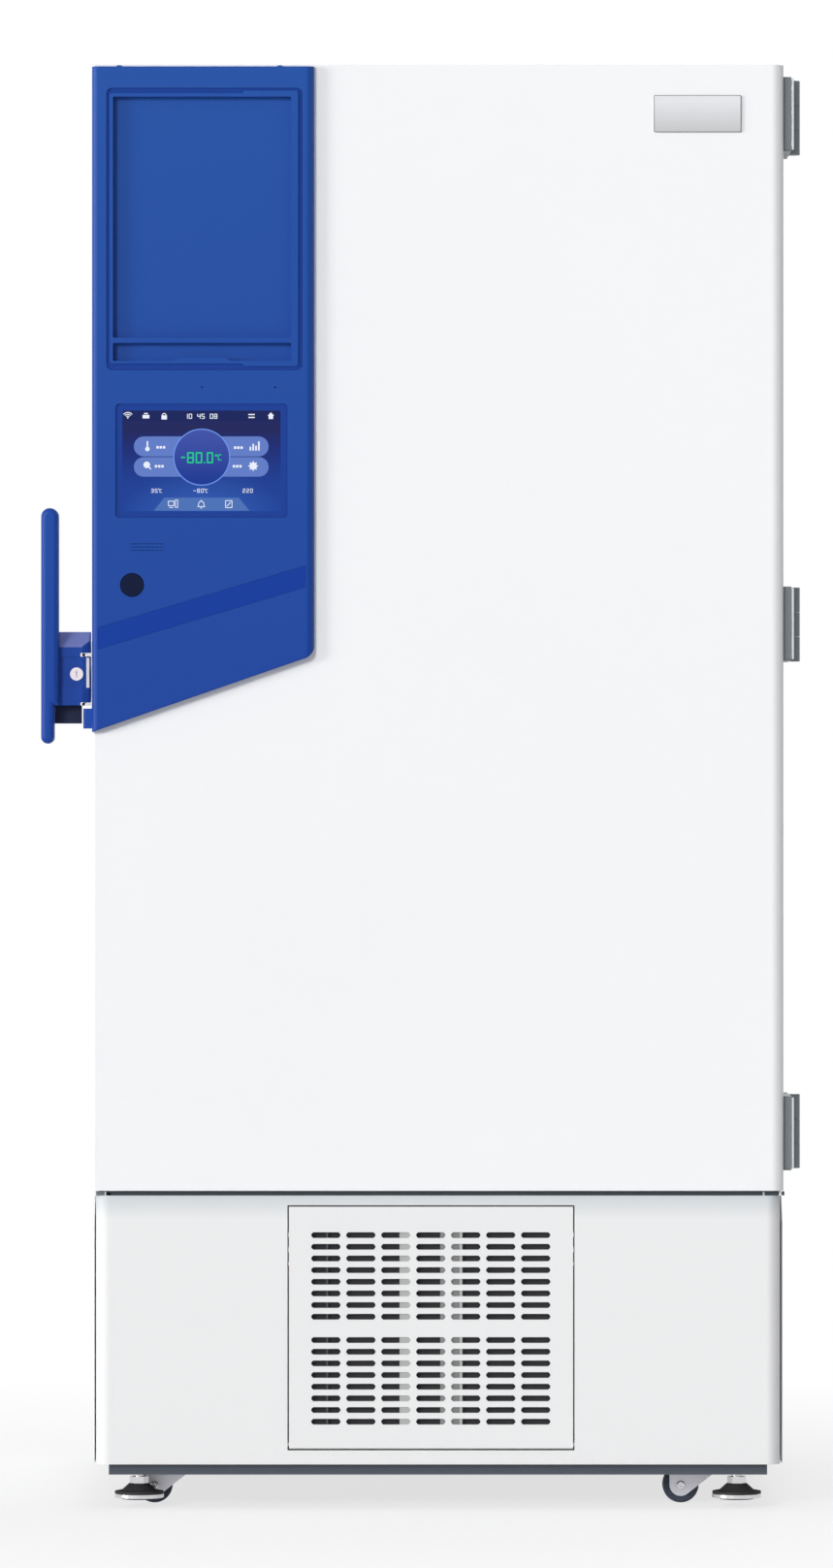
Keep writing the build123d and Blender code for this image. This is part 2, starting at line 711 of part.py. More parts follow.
def power_switch_rocker():
    """Rocker cap with its two pivot pins."""
    w, h = rocker_width / 2, rocker_height / 2
    tip = cabinet_back + rocker_stand
    profile = [(cabinet_back - rocker_depth / 2, inlet_z - h / 2), (tip - plate, inlet_z - h),
               (tip, inlet_z - h + plate), (tip - plate, inlet_z), (tip, inlet_z + h - plate),
               (tip - plate, inlet_z + h), (cabinet_back - rocker_depth / 2, inlet_z + h / 2)]
    cap = side_outline(profile, switch_x - w, switch_x + w)
    return cap + bar_x(switch_x - w - plate, switch_x + w + plate, cabinet_back, inlet_z, rocker_pin)


# Condenser, fan and the rest of the machinery
condenser_gap = 12.0
condenser_thick = 48.0
condenser_inset = 14.0
condenser_rise = 10.0
fin_count = 26
fin_sheet = 1.0
pipe_rows = 6
pipe_radius = 5.0
end_plate = 2.0
condenser_y0 = panel_front + return_depth + condenser_gap
condenser_y1 = condenser_y0 + condenser_thick
condenser_x0 = grille_x0 + condenser_inset
condenser_x1 = grille_x1 - condenser_inset
condenser_z0 = plinth_top
condenser_z1 = grille_z1 - condenser_rise


def condenser():
    """Finned heat exchanger: end plates down to the base, fins, and straight pipes through them."""
    core = block(condenser_x0, condenser_x0 + end_plate, condenser_y0, condenser_y1,
                 condenser_z0, condenser_z1)
    core += block(condenser_x1 - end_plate, condenser_x1, condenser_y0, condenser_y1,
                  condenser_z0, condenser_z1)
    pitch = (condenser_x1 - condenser_x0) / (fin_count + 1)
    for number in range(fin_count):
        x = condenser_x0 + (number + 1) * pitch
        core += block(x - fin_sheet / 2, x + fin_sheet / 2, condenser_y0, condenser_y1,
                      condenser_z0 + condenser_gap, condenser_z1)
    step = (condenser_z1 - condenser_z0) / pipe_rows
    for row in range(pipe_rows):
        core += bar_x(condenser_x0 - condenser_gap, condenser_x1 + condenser_gap,
                      (condenser_y0 + condenser_y1) / 2, condenser_z0 + (row + 1 / 2) * step, pipe_radius)
    return core


shroud_thick = 18.0
fan_radius = 125.0
fan_room = 6.0
fan_depth = 34.0
fan_gap = 8.0
fan_hub = 34.0
blade_count = 5
blade_sheet = 2.4
blade_pitch = 32.0
blade_chord_share = 0.62
motor_radius = 42.0
motor_length = 62.0
motor_shaft = 6.0
arm_count = 3
arm_width = 14.0
fan_x = (condenser_x0 + condenser_x1) / 2
fan_z = (condenser_z0 + condenser_z1) / 2
shroud_y0 = condenser_y1
shroud_y1 = shroud_y0 + shroud_thick
fan_y0 = shroud_y1 - fan_depth / 2
motor_y0 = fan_y0 + fan_depth + fan_gap


def fan_shroud():
    """Plate behind the condenser with a rolled mouth, and the arms that carry the motor."""
    shroud = block(condenser_x0, condenser_x1, shroud_y0, shroud_y1, plinth_top, condenser_z1)
    shroud -= block(condenser_x0 + plate, condenser_x1 - plate, shroud_y0 - overrun,
                    shroud_y1 - plate, plinth_top - overrun, condenser_z1 - plate)
    mouth = fan_radius + fan_room
    shroud += bar_y(fan_x, shroud_y0 + plate, shroud_y1 + plate, fan_z, mouth + plate)
    shroud -= bar_y(fan_x, shroud_y0 - overrun, shroud_y1 + plate + overrun, fan_z, mouth)
    arm_end = motor_y0 + motor_length / 2
    for number in range(arm_count):
        arm = block(motor_radius, mouth + 2 * plate, arm_end - plate, arm_end, -arm_width / 2, arm_width / 2)
        arm += block(mouth, mouth + 2 * plate, shroud_y1 - plate, arm_end, -arm_width / 2, arm_width / 2)
        shroud += Pos(fan_x, 0, fan_z) * Rot(0, 90 + number * 360 / arm_count, 0) * arm
    ring = bar_y(fan_x, arm_end - plate, arm_end, fan_z, motor_radius + 2 * plate)
    return shroud + ring - bar_y(fan_x, arm_end - arm_width, arm_end + overrun, fan_z, motor_radius)


def fan_motor():
    """Round motor body with a front boss and the shaft that carries the fan."""
    motor = bar_y(fan_x, motor_y0, motor_y0 + motor_length, fan_z, motor_radius)
    motor = fillet(motor.edges().filter_by(GeomType.CIRCLE), plate)
    motor += bar_y(fan_x, motor_y0 - plate, motor_y0, fan_z, motor_radius / 2)
    return motor + bar_y(fan_x, fan_y0, motor_y0, fan_z, motor_shaft)


def fan_blades():
    """Hub with five pitched blades, drawn as arcs and twisted to their pitch."""
    hub = bar_y(fan_x, fan_y0, fan_y0 + fan_depth, fan_z, fan_hub)
    mid_y = fan_y0 + fan_depth / 2
    chord = fan_hub * 2 * blade_chord_share
    reach = Plane((fan_hub - plate, 0, 0), x_dir=(0, 1, 0), z_dir=(1, 0, 0))
    tip = Plane((fan_radius, 0, 0), x_dir=(0, 1, 0), z_dir=(1, 0, 0))
    root_section = reach * Rot(0, 0, 90 - blade_pitch) * Rectangle(chord, blade_sheet)
    tip_section = tip * Rot(0, 0, 90 - blade_pitch / 2) * Rectangle(chord * 3 / 2, blade_sheet)
    blade = loft([root_section, tip_section])
    for number in range(blade_count):
        hub += Pos(fan_x, mid_y, fan_z) * Rot(0, number * 360 / blade_count, 0) * blade
    hub = hub & bar_y(fan_x, fan_y0, fan_y0 + fan_depth, fan_z, fan_radius)
    return hub - bar_y(fan_x, fan_y0 - overrun, fan_y0 + fan_depth + overrun, fan_z,
                       motor_shaft + slide_fit)


compressor_radius = 88.0
compressor_height = 218.0
compressor_dome = 46.0
compressor_foot = 14.0
foot_plate = 4.0
foot_span = 150.0
compressor_inset = 332.0
compressor_y = cabinet_back - compressor_inset
compressor_spread = 150.0
seam_lip = 4.0
seam_share = 0.55
compressor_places = [(middle - compressor_spread, compressor_y), (middle + compressor_spread, compressor_y)]


def compressors():
    """Two hermetic compressors, one for each stage, each a drawn and seamed shell on a foot plate."""
    shells = []
    for x, y in compressor_places:
        base = plinth_top + compressor_foot
        z0, z1 = base + foot_plate, base + foot_plate + compressor_height
        shell = post(x, y, z0, z1, compressor_radius)
        shell = fillet(shell.edges().filter_by(GeomType.CIRCLE), compressor_dome)
        seam = z0 + compressor_height * seam_share
        shell += post(x, y, seam, seam + 2 * seam_lip, compressor_radius + seam_lip)
        shell += rounded_plan(x - foot_span / 2, x + foot_span / 2, y - foot_span / 2,
                              y + foot_span / 2, base, base + foot_plate, compressor_foot)
        shell += bar_y(x, y - compressor_radius - compressor_foot, y, seam + compressor_dome, pipe_radius)
        shells.append(shell)
    return Compound(shells)


def compressor_mounts():
    """Eight rubber grommets under the compressor feet."""
    grommets = []
    reach = foot_span / 2 - compressor_foot
    for x, y in compressor_places:
        for side in (-1, 1):
            for end in (-1, 1):
                grommets.append(post(x + side * reach, y + end * reach, plinth_top,
                                     plinth_top + compressor_foot, compressor_foot * 3 / 4))
    return Compound(grommets)


separator_radius = 34.0
separator_height = 190.0
separator_inset = 120.0
separator_setback = 346.0
separator_x = left + separator_inset
separator_y = cabinet_front + separator_setback
strap = 12.0


def oil_separator():
    """Upright pressure vessel with domed ends, standing on a bracket."""
    z0 = plinth_top + strap
    vessel = post(separator_x, separator_y, z0, z0 + separator_height, separator_radius)
    vessel = fillet(vessel.edges().filter_by(GeomType.CIRCLE), separator_radius * 3 / 4)
    foot = block(separator_x - separator_radius, separator_x + separator_radius,
                 separator_y - strap, separator_y + strap, plinth_top, z0 + strap)
    return vessel + foot


line_radius = 4.0
line_bend = 16.0
suction_rise = 60.0


def refrigerant_pipes():
    """Discharge and liquid lines between compressors, separator and condenser."""
    seam = plinth_top + compressor_foot + foot_plate + compressor_height * seam_share + compressor_dome
    y_start = compressor_y - compressor_radius - compressor_foot
    lines = []
    top = seam + suction_rise
    pipe_y = (condenser_y0 + condenser_y1) / 2
    for (x, y), end_x in zip(compressor_places, (condenser_x0 - condenser_gap, condenser_x1 + condenser_gap)):
        step = (condenser_z1 - condenser_z0) / pipe_rows
        end_z = condenser_z0 + step / 2
        away = -suction_rise if end_x < middle else suction_rise
        points = [(x, y_start, seam), (x, y_start - suction_rise, seam), (x, y_start - suction_rise, top),
                  (end_x + away, y_start - suction_rise, top), (end_x + away, pipe_y, top),
                  (end_x + away, pipe_y, end_z), (end_x, pipe_y, end_z)]
        lines.append(tube(points, line_bend, line_radius))
    return Compound(lines)


box_width = 150.0
box_depth = 220.0
box_height = 250.0
box_side_gap = 42.0
box_setback = 120.0
box_y0 = cabinet_front + box_setback


def control_box():
    """Sheet metal box of the drive electronics, with a lipped lid."""
    x1 = right - box_side_gap
    body = block(x1 - box_width, x1, box_y0, box_y0 + box_depth, plinth_top, plinth_top + box_height)
    lid = block(x1 - box_width - sheet, x1 + sheet, box_y0 - sheet, box_y0 + box_depth + sheet,
                plinth_top + box_height - strap, plinth_top + box_height + sheet)
    return body + lid


# Outer door
door_right_radius = 16.0
door_left_radius = 4.0
liner_inset = 44.0
liner_step = 6.0
liner_sheet_thick = 3.0
gasket_width = 24.0
gasket_inset = 16.0


def door_outer(inset, y0, y1):
    """The door's outline as a solid, drawn in by an inset, with rounded front uprights."""
    body = block(left + inset, right - inset, y0, y1, door_bottom + inset, height - inset)
    uprights = body.edges().filter_by(Axis.Z).group_by(Axis.Y)[0].sort_by(Axis.X)
    body = fillet(uprights[-1], door_right_radius - inset)
    corner = body.edges().filter_by(Axis.Z).group_by(Axis.Y)[0].sort_by(Axis.X)[0]
    return fillet(corner, door_left_radius - inset)


def door_skin():
    """Painted steel pan: front and four sides, with the back open."""
    rear = door_back - liner_sheet_thick
    return door_outer(0, door_front, rear) - door_outer(sheet, door_front + sheet, rear + overrun)


def door_insulation():
    """Foam that fills the door pan."""
    return door_outer(sheet, door_front + sheet, door_back - liner_sheet_thick)


def door_liner():
    """Moulded back of the door with a raised step inside the gasket."""
    pan = block(left, right, door_back - liner_sheet_thick, door_back, door_bottom, height)
    step = block(left + flange + liner_inset, right - flange - liner_inset, door_back,
                 door_back + liner_step, deck + flange + liner_inset, height - flange - liner_inset)
    front_face = step.faces().sort_by(Axis.Y)[-1]
    return pan + chamfer(front_face.edges(), liner_step / 2)


def door_gasket():
    """Soft ring between the door and the cabinet's face, clear of the cabinet by a hair."""
    x0, x1 = left + gasket_inset, right - gasket_inset
    z0, z1 = door_bottom + gasket_inset, height - gasket_inset
    ring = rounded_front(x0, x1, door_back, cabinet_front - seat_gap, z0, z1, gasket_inset)
    return ring - block(x0 + gasket_width, x1 - gasket_width, door_back - overrun, cabinet_front,
                        z0 + gasket_width, z1 - gasket_width)


# Control fascia on the door, with its inserts
fascia_width = 304.3
fascia_drop = 3.0
fascia_low = 806.4
fascia_slope = 0.346
fascia_bevel = 7.8
fascia_side_bevel = 11.6
fascia_round = 12.0
fascia_x0 = left
fascia_x1 = left + fascia_width
fascia_top = height - fascia_drop
fascia_corner_z = fascia_top - fascia_low
fascia_base_z = fascia_corner_z - fascia_width * fascia_slope

tray_inset = 20.0
tray_drop = 29.7
tray_x0 = left + tray_inset
tray_width = 268.0
tray_top = fascia_top - tray_drop
tray_height = 386.4
tray_round = 8.0
pocket_inset_x = 8.9
pocket_width = 244.0
pocket_drop = 11.9
pocket_height = 330.0
pocket_floor = 3.0
divider = 7.2
pen_height = 24.7
tray_x1 = tray_x0 + tray_width
tray_bottom = tray_top - tray_height

display_inset = 32.7
display_drop = 462.6
display_x0 = left + display_inset
display_width = 234.6
display_top = fascia_top - display_drop
display_height = 155.2
display_round = 5.0
screen_inset_x = 9.0
screen_inset_z = 8.7
display_sink = 2.0
screen_thick = 6.0

reader_inset = 55.0
reader_drop = 710.2
reader_x = left + reader_inset
reader_z = fascia_top - reader_drop
reader_radius = 16.15
band_height = 30.0
band_depth = 1.2
band_low = 798.5
band_slope = 0.2992


def display_recess():
    """The pocket that holds the display, as a solid to cut away."""
    return rounded_front(display_x0, display_x0 + display_width, front - overrun, door_front + overrun,
                         display_top - display_height, display_top, display_round)


def band_solid(y0, y1, gap):
    """The slanting band across the fascia, between two depths."""
    x0 = fascia_x0 + fascia_bevel + gap
    x1 = fascia_x1 - fascia_side_bevel - gap
    z0 = fascia_top - band_low + gap
    z1 = z0 + band_height - 2 * gap
    rise = (x1 - x0) * band_slope
    return front_outline([(x0, z0), (x1, z0 + rise), (x1, z1 + rise), (x0, z1)], y0, y1)


def control_fascia():
    """Moulded housing with bevelled sides and a slanting lower edge, cut out for its inserts."""
    outline = [(fascia_x0, fascia_top), (fascia_x1, fascia_top), (fascia_x1, fascia_corner_z),
               (fascia_x0, fascia_base_z)]
    body = front_outline(outline, front, door_front)
    uprights = body.edges().filter_by(Axis.Y).sort_by(Axis.X)
    low_right = uprights[-2:].sort_by(Axis.Z)[0]
    body = fillet(low_right, fascia_round)
    face_edges = body.faces().sort_by(Axis.Y)[0].edges()
    right_edge = face_edges.filter_by(Axis.Z).sort_by(Axis.X)[-1]
    body = chamfer(right_edge, fascia_side_bevel, fascia_side_bevel)
    left_edge = body.faces().sort_by(Axis.Y)[0].edges().filter_by(Axis.Z).sort_by(Axis.X)[0]
    body = chamfer(left_edge, fascia_bevel, fascia_bevel)
    body -= rounded_front(tray_x0, tray_x1, front - overrun, door_front + overrun, tray_bottom,
                          tray_top, tray_round)
    body -= display_recess()
    body -= bar_y(reader_x, front - overrun, front + fascia_stand / 2, reader_z,
                  reader_radius + seat_gap)
    return body - band_solid(front - overrun, front + band_depth, 0)


ring_rise = 1.0
groove_side = 4.8
groove_high = 6.6
groove_low = 8.2
groove_depth = 2.4
rim_step = 3.5
rim_step_share = 0.7
lip_base = 80.0
lip_top = 64.5
lip_rise = 4.5


def document_tray():
    """Shallow moulded tray: a groove, a raised stepped rim, a pen shelf below and a finger lip."""
    gap = seat_gap
    rim_y = front
    tray = rounded_front(tray_x0 + gap, tray_x1 - gap, rim_y + groove_depth, door_front,
                         tray_bottom + gap, tray_top - gap, tray_round - gap)
    rim_round = tray_round - groove_side
    rim = rounded_front(tray_x0 + groove_side, tray_x1 - groove_side, rim_y, door_front,
                        tray_bottom + groove_low, tray_top - groove_high, rim_round)
    rim += rounded_front(tray_x0 + tray_width * rim_step_share, tray_x1 - groove_side, rim_y, door_front,
                         tray_bottom + groove_low - rim_step, tray_top - groove_high + rim_step, rim_round)
    tray += chamfer(rim.faces().sort_by(Axis.Y)[0].edges(), ring_rise)
    x0 = tray_x0 + pocket_inset_x
    x1 = x0 + pocket_width
    top = tray_top - pocket_drop
    floor = door_front - pocket_floor
    tray -= rounded_front(x0, x1, rim_y - overrun, floor, top - pocket_height, top, ring_rise * 2)
    pen_top = top - pocket_height - divider
    shelf = rounded_front(x0, x1, rim_y - overrun, floor, pen_top - pen_height, pen_top, ring_rise * 2)
    middle_x = (x0 + x1) / 2
    z = pen_top - pen_height
    lip = front_outline([(middle_x - lip_base / 2, z), (middle_x + lip_base / 2, z),
                         (middle_x + lip_top / 2, z + lip_rise), (middle_x - lip_top / 2, z + lip_rise)],
                        rim_y - overrun, floor)
    return tray - (shelf - lip)


def display_bezel():
    """Frame round the screen, set a little below the fascia's face."""
    frame = display_recess() & block(left, right, front + display_sink, door_front, 0, height)
    inner = rounded_front(display_x0 + screen_inset_x, display_x0 + display_width - screen_inset_x,
                          front - overrun, front + display_sink + screen_thick,
                          display_top - display_height + screen_inset_z, display_top - screen_inset_z,
                          display_round / 2)
    return frame - inner


def display_screen():
    """Glass of the touch screen, seated in the bezel."""
    return rounded_front(display_x0 + screen_inset_x, display_x0 + display_width - screen_inset_x,
                         front + display_sink + seat_gap, front + display_sink + screen_thick,
                         display_top - display_height + screen_inset_z, display_top - screen_inset_z,
                         display_round / 2)


def status_strip():
    """Darker inlay strip in the slanting groove of the fascia."""
    return band_solid(front + seat_gap, front + band_depth, seat_gap)


def card_reader_window():
    """Round dark window of the card reader, seated in its counterbore."""
    disc = bar_y(reader_x, front + seat_gap, front + fascia_stand / 2, reader_z, reader_radius)
    return chamfer(disc.edges().filter_by(GeomType.CIRCLE).sort_by(Axis.Y)[0], seat_gap * 2)


plate_width = 120.0
plate_height = 51.0
plate_thick = 2.4
plate_round = 3.0
plate_inset_x = 118.5
plate_drop = 67.0


def nameplate():
    """Bare bevelled plate on the door."""
    x = right - plate_inset_x
    z = height - plate_drop
    badge = rounded_front(x - plate_width / 2, x + plate_width / 2, door_front - plate_thick,
                          door_front, z - plate_height / 2, z + plate_height / 2, plate_round)
    return chamfer(badge.faces().sort_by(Axis.Y)[0].edges(), plate_thick / 2)


# Door hinges at the right
hinge_height = 102.0
hinge_leaf = 11.0
knuckle_radius = 12.0
hinge_pin_radius = 5.0
leaf_length = 66.0
leaf_round = 4.0
knuckle_gap = 0.5
knuckle_room = 1.5
hinge_drop = 66.0
hinge_rise = 78.3
hinge_top_z = height - hinge_drop
hinge_low_z = door_bottom + hinge_rise
hinge_levels = (hinge_top_z, (hinge_top_z + hinge_low_z) / 2, hinge_low_z)
hinge_x = right + hinge_reach - knuckle_radius
hinge_y = (door_back + cabinet_front) / 2
third = hinge_height / 3
leaf_gap = knuckle_radius + knuckle_room


def hinge_leaf_solid(z, side):
    """One cast leaf against the side sheet, ahead of the pin for side -1 and behind it for 1."""
    y0, y1 = sorted((hinge_y + side * leaf_gap, hinge_y + side * (leaf_gap + leaf_length)))
    leaf = block(right, right + hinge_leaf, y0, y1, z - hinge_height / 2, z + hinge_height / 2)
    edges = leaf.edges().filter_by(Axis.X)
    outer = edges.sort_by(Axis.Y)[:2] if side < 0 else edges.sort_by(Axis.Y)[-2:]
    return fillet(outer, leaf_round)


def knuckle(z0, z1, side, bore):
    """One knuckle with its web to the leaf, bored for the pin."""
    barrel = post(hinge_x, hinge_y, z0, z1, knuckle_radius)
    y0, y1 = sorted((hinge_y, hinge_y + side * leaf_gap))
    barrel += block(right, right + hinge_leaf, y0, y1, z0, z1)
    return barrel - post(hinge_x, hinge_y, z0 - overrun, z1 + overrun, bore)


def hinge_door_leaves():
    """Three door leaves, each with the middle knuckle."""
    leaves = []
    for z in hinge_levels:
        middle_knuckle = knuckle(z - third / 2 + knuckle_gap, z + third / 2 - knuckle_gap, -1,
                                 hinge_pin_radius + slide_fit)
        leaves.append(hinge_leaf_solid(z, -1) + middle_knuckle)
    return Compound(leaves)


def hinge_body_leaves():
    """Three cabinet leaves, each with the outer knuckles and the fixed pin."""
    leaves = []
    for z in hinge_levels:
        leaf = hinge_leaf_solid(z, 1)
        for z0, z1 in ((z - hinge_height / 2, z - third / 2), (z + third / 2, z + hinge_height / 2)):
            leaf += knuckle(z0, z1, 1, hinge_pin_radius)
        leaf += post(hinge_x, hinge_y, z - hinge_height / 2, z + hinge_height / 2, hinge_pin_radius)
        leaves.append(leaf)
    return Compound(leaves)


# Handle at the left, its bracket, claw and strike
pivot_out = 9.0
pivot_setback = 46.0
pivot_x = left - pivot_out
pivot_y = door_front + pivot_setback
handle_pin = 4.0
lock_drop = 831.6
lock_z = fascia_top - lock_drop
block_fall = 42.9
block_front_rise = 36.6
block_back_rise = 58.2
block_z0 = lock_z - block_fall
block_front_z = lock_z + block_front_rise
block_back_z = lock_z + block_back_rise
block_face = 15.0
block_rear = 13.0
block_side = 5.5
grip_width = 24.0
grip_foot_width = 18.0
grip_front = 30.0
grip_rear = 2.0
grip_fall = 95.7
grip_rise = 227.9
grip_z0 = lock_z - grip_fall
grip_z1 = lock_z + grip_rise
grip_round = 7.0
grip_x0 = left - handle_reach
grip_x1 = grip_x0 + grip_width
lug_fall = 39.4
lug_rise = 24.6
lug_z0 = lock_z - lug_fall
lug_z1 = lock_z + lug_rise
lug_plate = 4.0
lug_radius = 6.5
lug_room = 9.0
lug_clear = 0.6
lock_inset = 13.5
lock_x = pivot_x - lock_inset
lock_radius = 9.0
lock_depth = 8.5
lock_stand = 1.5
claw_fall = 25.4
claw_rise = 4.6
claw_z0 = lock_z - claw_fall
claw_z1 = lock_z + claw_rise
claw_side = 5.0
claw_thick = 6.0
claw_gap = 1.5
claw_toe = 6.0
claw_tip = 3.0
strike_pin = 4.0
strike_setback = 20.0
strike_y = cabinet_front + strike_setback
strike_lug = 4.0
strike_gap = 4.0
bracket_plate = 2.5
heel_reach = pivot_out - bracket_plate - seat_gap
heel_slant = heel_reach * sqrt(2)
recess_left = 22.5
recess_right = 9.5
recess_fall = 17.5
recess_rise = 23.0
recess_depth = 1.2
recess_round = 2.0
web_gap = 0.6
web_fall = 25.0


def grip():
    """The upright grip, round at the top and drawn in at the foot."""
    r = grip_width / 2
    y0, y1 = pivot_y - grip_front, pivot_y + grip_rear
    body = block(grip_x0, grip_x1, y0, y1, block_z0, grip_z1 - r)
    body += bar_y(grip_x0 + r, y0, y1, grip_z1 - r, r)
    foot_r = grip_foot_width / 2
    body += block(grip_x0, grip_x0 + grip_foot_width, y0, y1, grip_z0 + foot_r, block_z0 + r)
    body += bar_y(grip_x0 + foot_r, y0, y1, grip_z0 + foot_r, foot_r)
    front_edges = body.faces().sort_by(Axis.Y)[0].edges()
    return fillet(front_edges, grip_round)


def handle_lever():
    """Swinging lever: grip, sloping arm with a recessed face and a web below.

    Its heel is cut to swing clear of the bracket.
    """
    y0, y1 = pivot_y - block_face, pivot_y + block_rear
    slope = [(y0, block_z0), (y1, block_z0), (y1, block_back_z), (y0, block_front_z)]
    arm = side_outline(slope, grip_x1 - overrun, pivot_x + block_side)
    cut = [(pivot_x + heel_slant - block_face - overrun, y0 - overrun),
           (pivot_x + heel_slant / 2, pivot_y - heel_slant / 2), (pivot_x + heel_reach, pivot_y),
           (pivot_x + heel_reach, y0 - overrun)]
    heel = post(pivot_x, pivot_y, block_z0 - overrun, block_back_z + overrun, heel_reach)
    arm -= plan_outline(cut, block_z0 - overrun, block_back_z + overrun) - heel
    lever = arm + grip()
    lug_rooms = ((block_z0 - overrun, lug_z0 + lug_clear),
                 (lug_z1 - lug_clear, lug_z1 + lug_plate + lug_clear))
    for z0, z1 in lug_rooms:
        lever -= block(pivot_x - lug_room, pivot_x + lug_room, y0 - overrun, y1 + overrun, z0, z1)
    lever -= post(pivot_x, pivot_y, block_z0 - overrun, lug_z1 + lug_plate, handle_pin + slide_fit)
    lever -= rounded_front(lock_x - recess_left, lock_x + recess_right, y0 - overrun, y0 + recess_depth,
                           lock_z - recess_fall, lock_z + recess_rise, recess_round)
    lever += block(grip_x0 + grip_foot_width, pivot_x - lug_radius - web_gap, pivot_y + grip_rear + web_gap,
                   pivot_y + block_rear, block_z0 - web_fall, block_z0)
    return lever - bar_y(lock_x, y0 - overrun, y0 + lock_depth, lock_z, lock_radius + slide_fit)


def lock_plug():
    """Key barrel in the lever's face, with its key slot."""
    y0 = pivot_y - block_face
    plug = bar_y(lock_x, y0 - lock_stand, y0 + lock_depth - seat_gap, lock_z, lock_radius)
    slot = block(lock_x - lock_stand / 2, lock_x + lock_stand / 2, y0 - lock_stand - overrun,
                 y0 + lock_stand, lock_z - lock_radius / 2, lock_z + lock_radius / 2)
    return plug - slot


def latch_claw():
    """Steel claw behind the lever that reaches back round the strike pin."""
    x0 = pivot_x - claw_side - claw_thick
    x1 = pivot_x - claw_side
    toe_y = strike_y + strike_pin + claw_gap
    arm = block(x0, x1, pivot_y + block_rear, toe_y + claw_toe, claw_z0, claw_z1)
    arm += block(x1, pivot_x + claw_tip, toe_y, toe_y + claw_toe, claw_z0, claw_z1)
    outer = arm.edges().filter_by(Axis.Z).group_by(Axis.Y)[-1]
    return fillet(outer, claw_tip)


def strike():
    """Bracket on the cabinet's side with two lugs and the upright strike pin."""
    z0 = claw_z0 - strike_gap - strike_lug
    z1 = claw_z1 + strike_gap + strike_lug
    y0, y1 = cabinet_front + strike_lug, strike_y + strike_pin + claw_gap + claw_toe + strike_lug
    body = block(left - plate, left, y0, y1, z0, z1)
    for bottom in (z0, z1 - strike_lug):
        body += block(pivot_x, left, strike_y - strike_pin - strike_lug, strike_y + strike_pin + strike_lug,
                      bottom, bottom + strike_lug)
        body += post(pivot_x, strike_y, bottom, bottom + strike_lug, strike_pin + strike_lug)
    return body + post(pivot_x, strike_y, z0, z1, strike_pin)


bracket_front = 12.0
bracket_rear = 22.0
bracket_fall = 47.4
bracket_rise = 43.6
bracket_z0 = lock_z - bracket_fall
bracket_z1 = lock_z + bracket_rise


def handle_bracket():
    """Steel plate on the door's side with two lugs and the pivot pin between them."""
    y0, y1 = pivot_y - bracket_front, pivot_y + bracket_rear
    body = block(left - bracket_plate, left, y0, y1, bracket_z0, bracket_z1)
    body -= block(left - bracket_plate - overrun, left + overrun, y0 - overrun, pivot_y - lug_radius,
                  lug_z0 + lug_plate, lug_z1 - lug_plate)
    for z0, z1 in ((lug_z0 - lug_plate, lug_z0), (lug_z1, lug_z1 + lug_plate)):
        body += post(pivot_x, pivot_y, z0, z1, lug_radius)
        body += block(pivot_x, left - bracket_plate, pivot_y - lug_radius, pivot_y + lug_radius, z0, z1)
    return body + post(pivot_x, pivot_y, lug_z0 - lug_plate, lug_z1 + lug_plate, handle_pin)


base_fall = 74.8
base_out = 13.6
base_z0 = lock_z - base_fall


def handle_base():
    """Moulded foot on the door's side below the lever."""
    y0, y1 = pivot_y - bracket_front, pivot_y + bracket_rear
    foot = block(left - base_out, left, y0, y1, base_z0, bracket_z0)
    return fillet(foot.edges().filter_by(Axis.Z).sort_by(Axis.X)[:2], grip_round / 2)


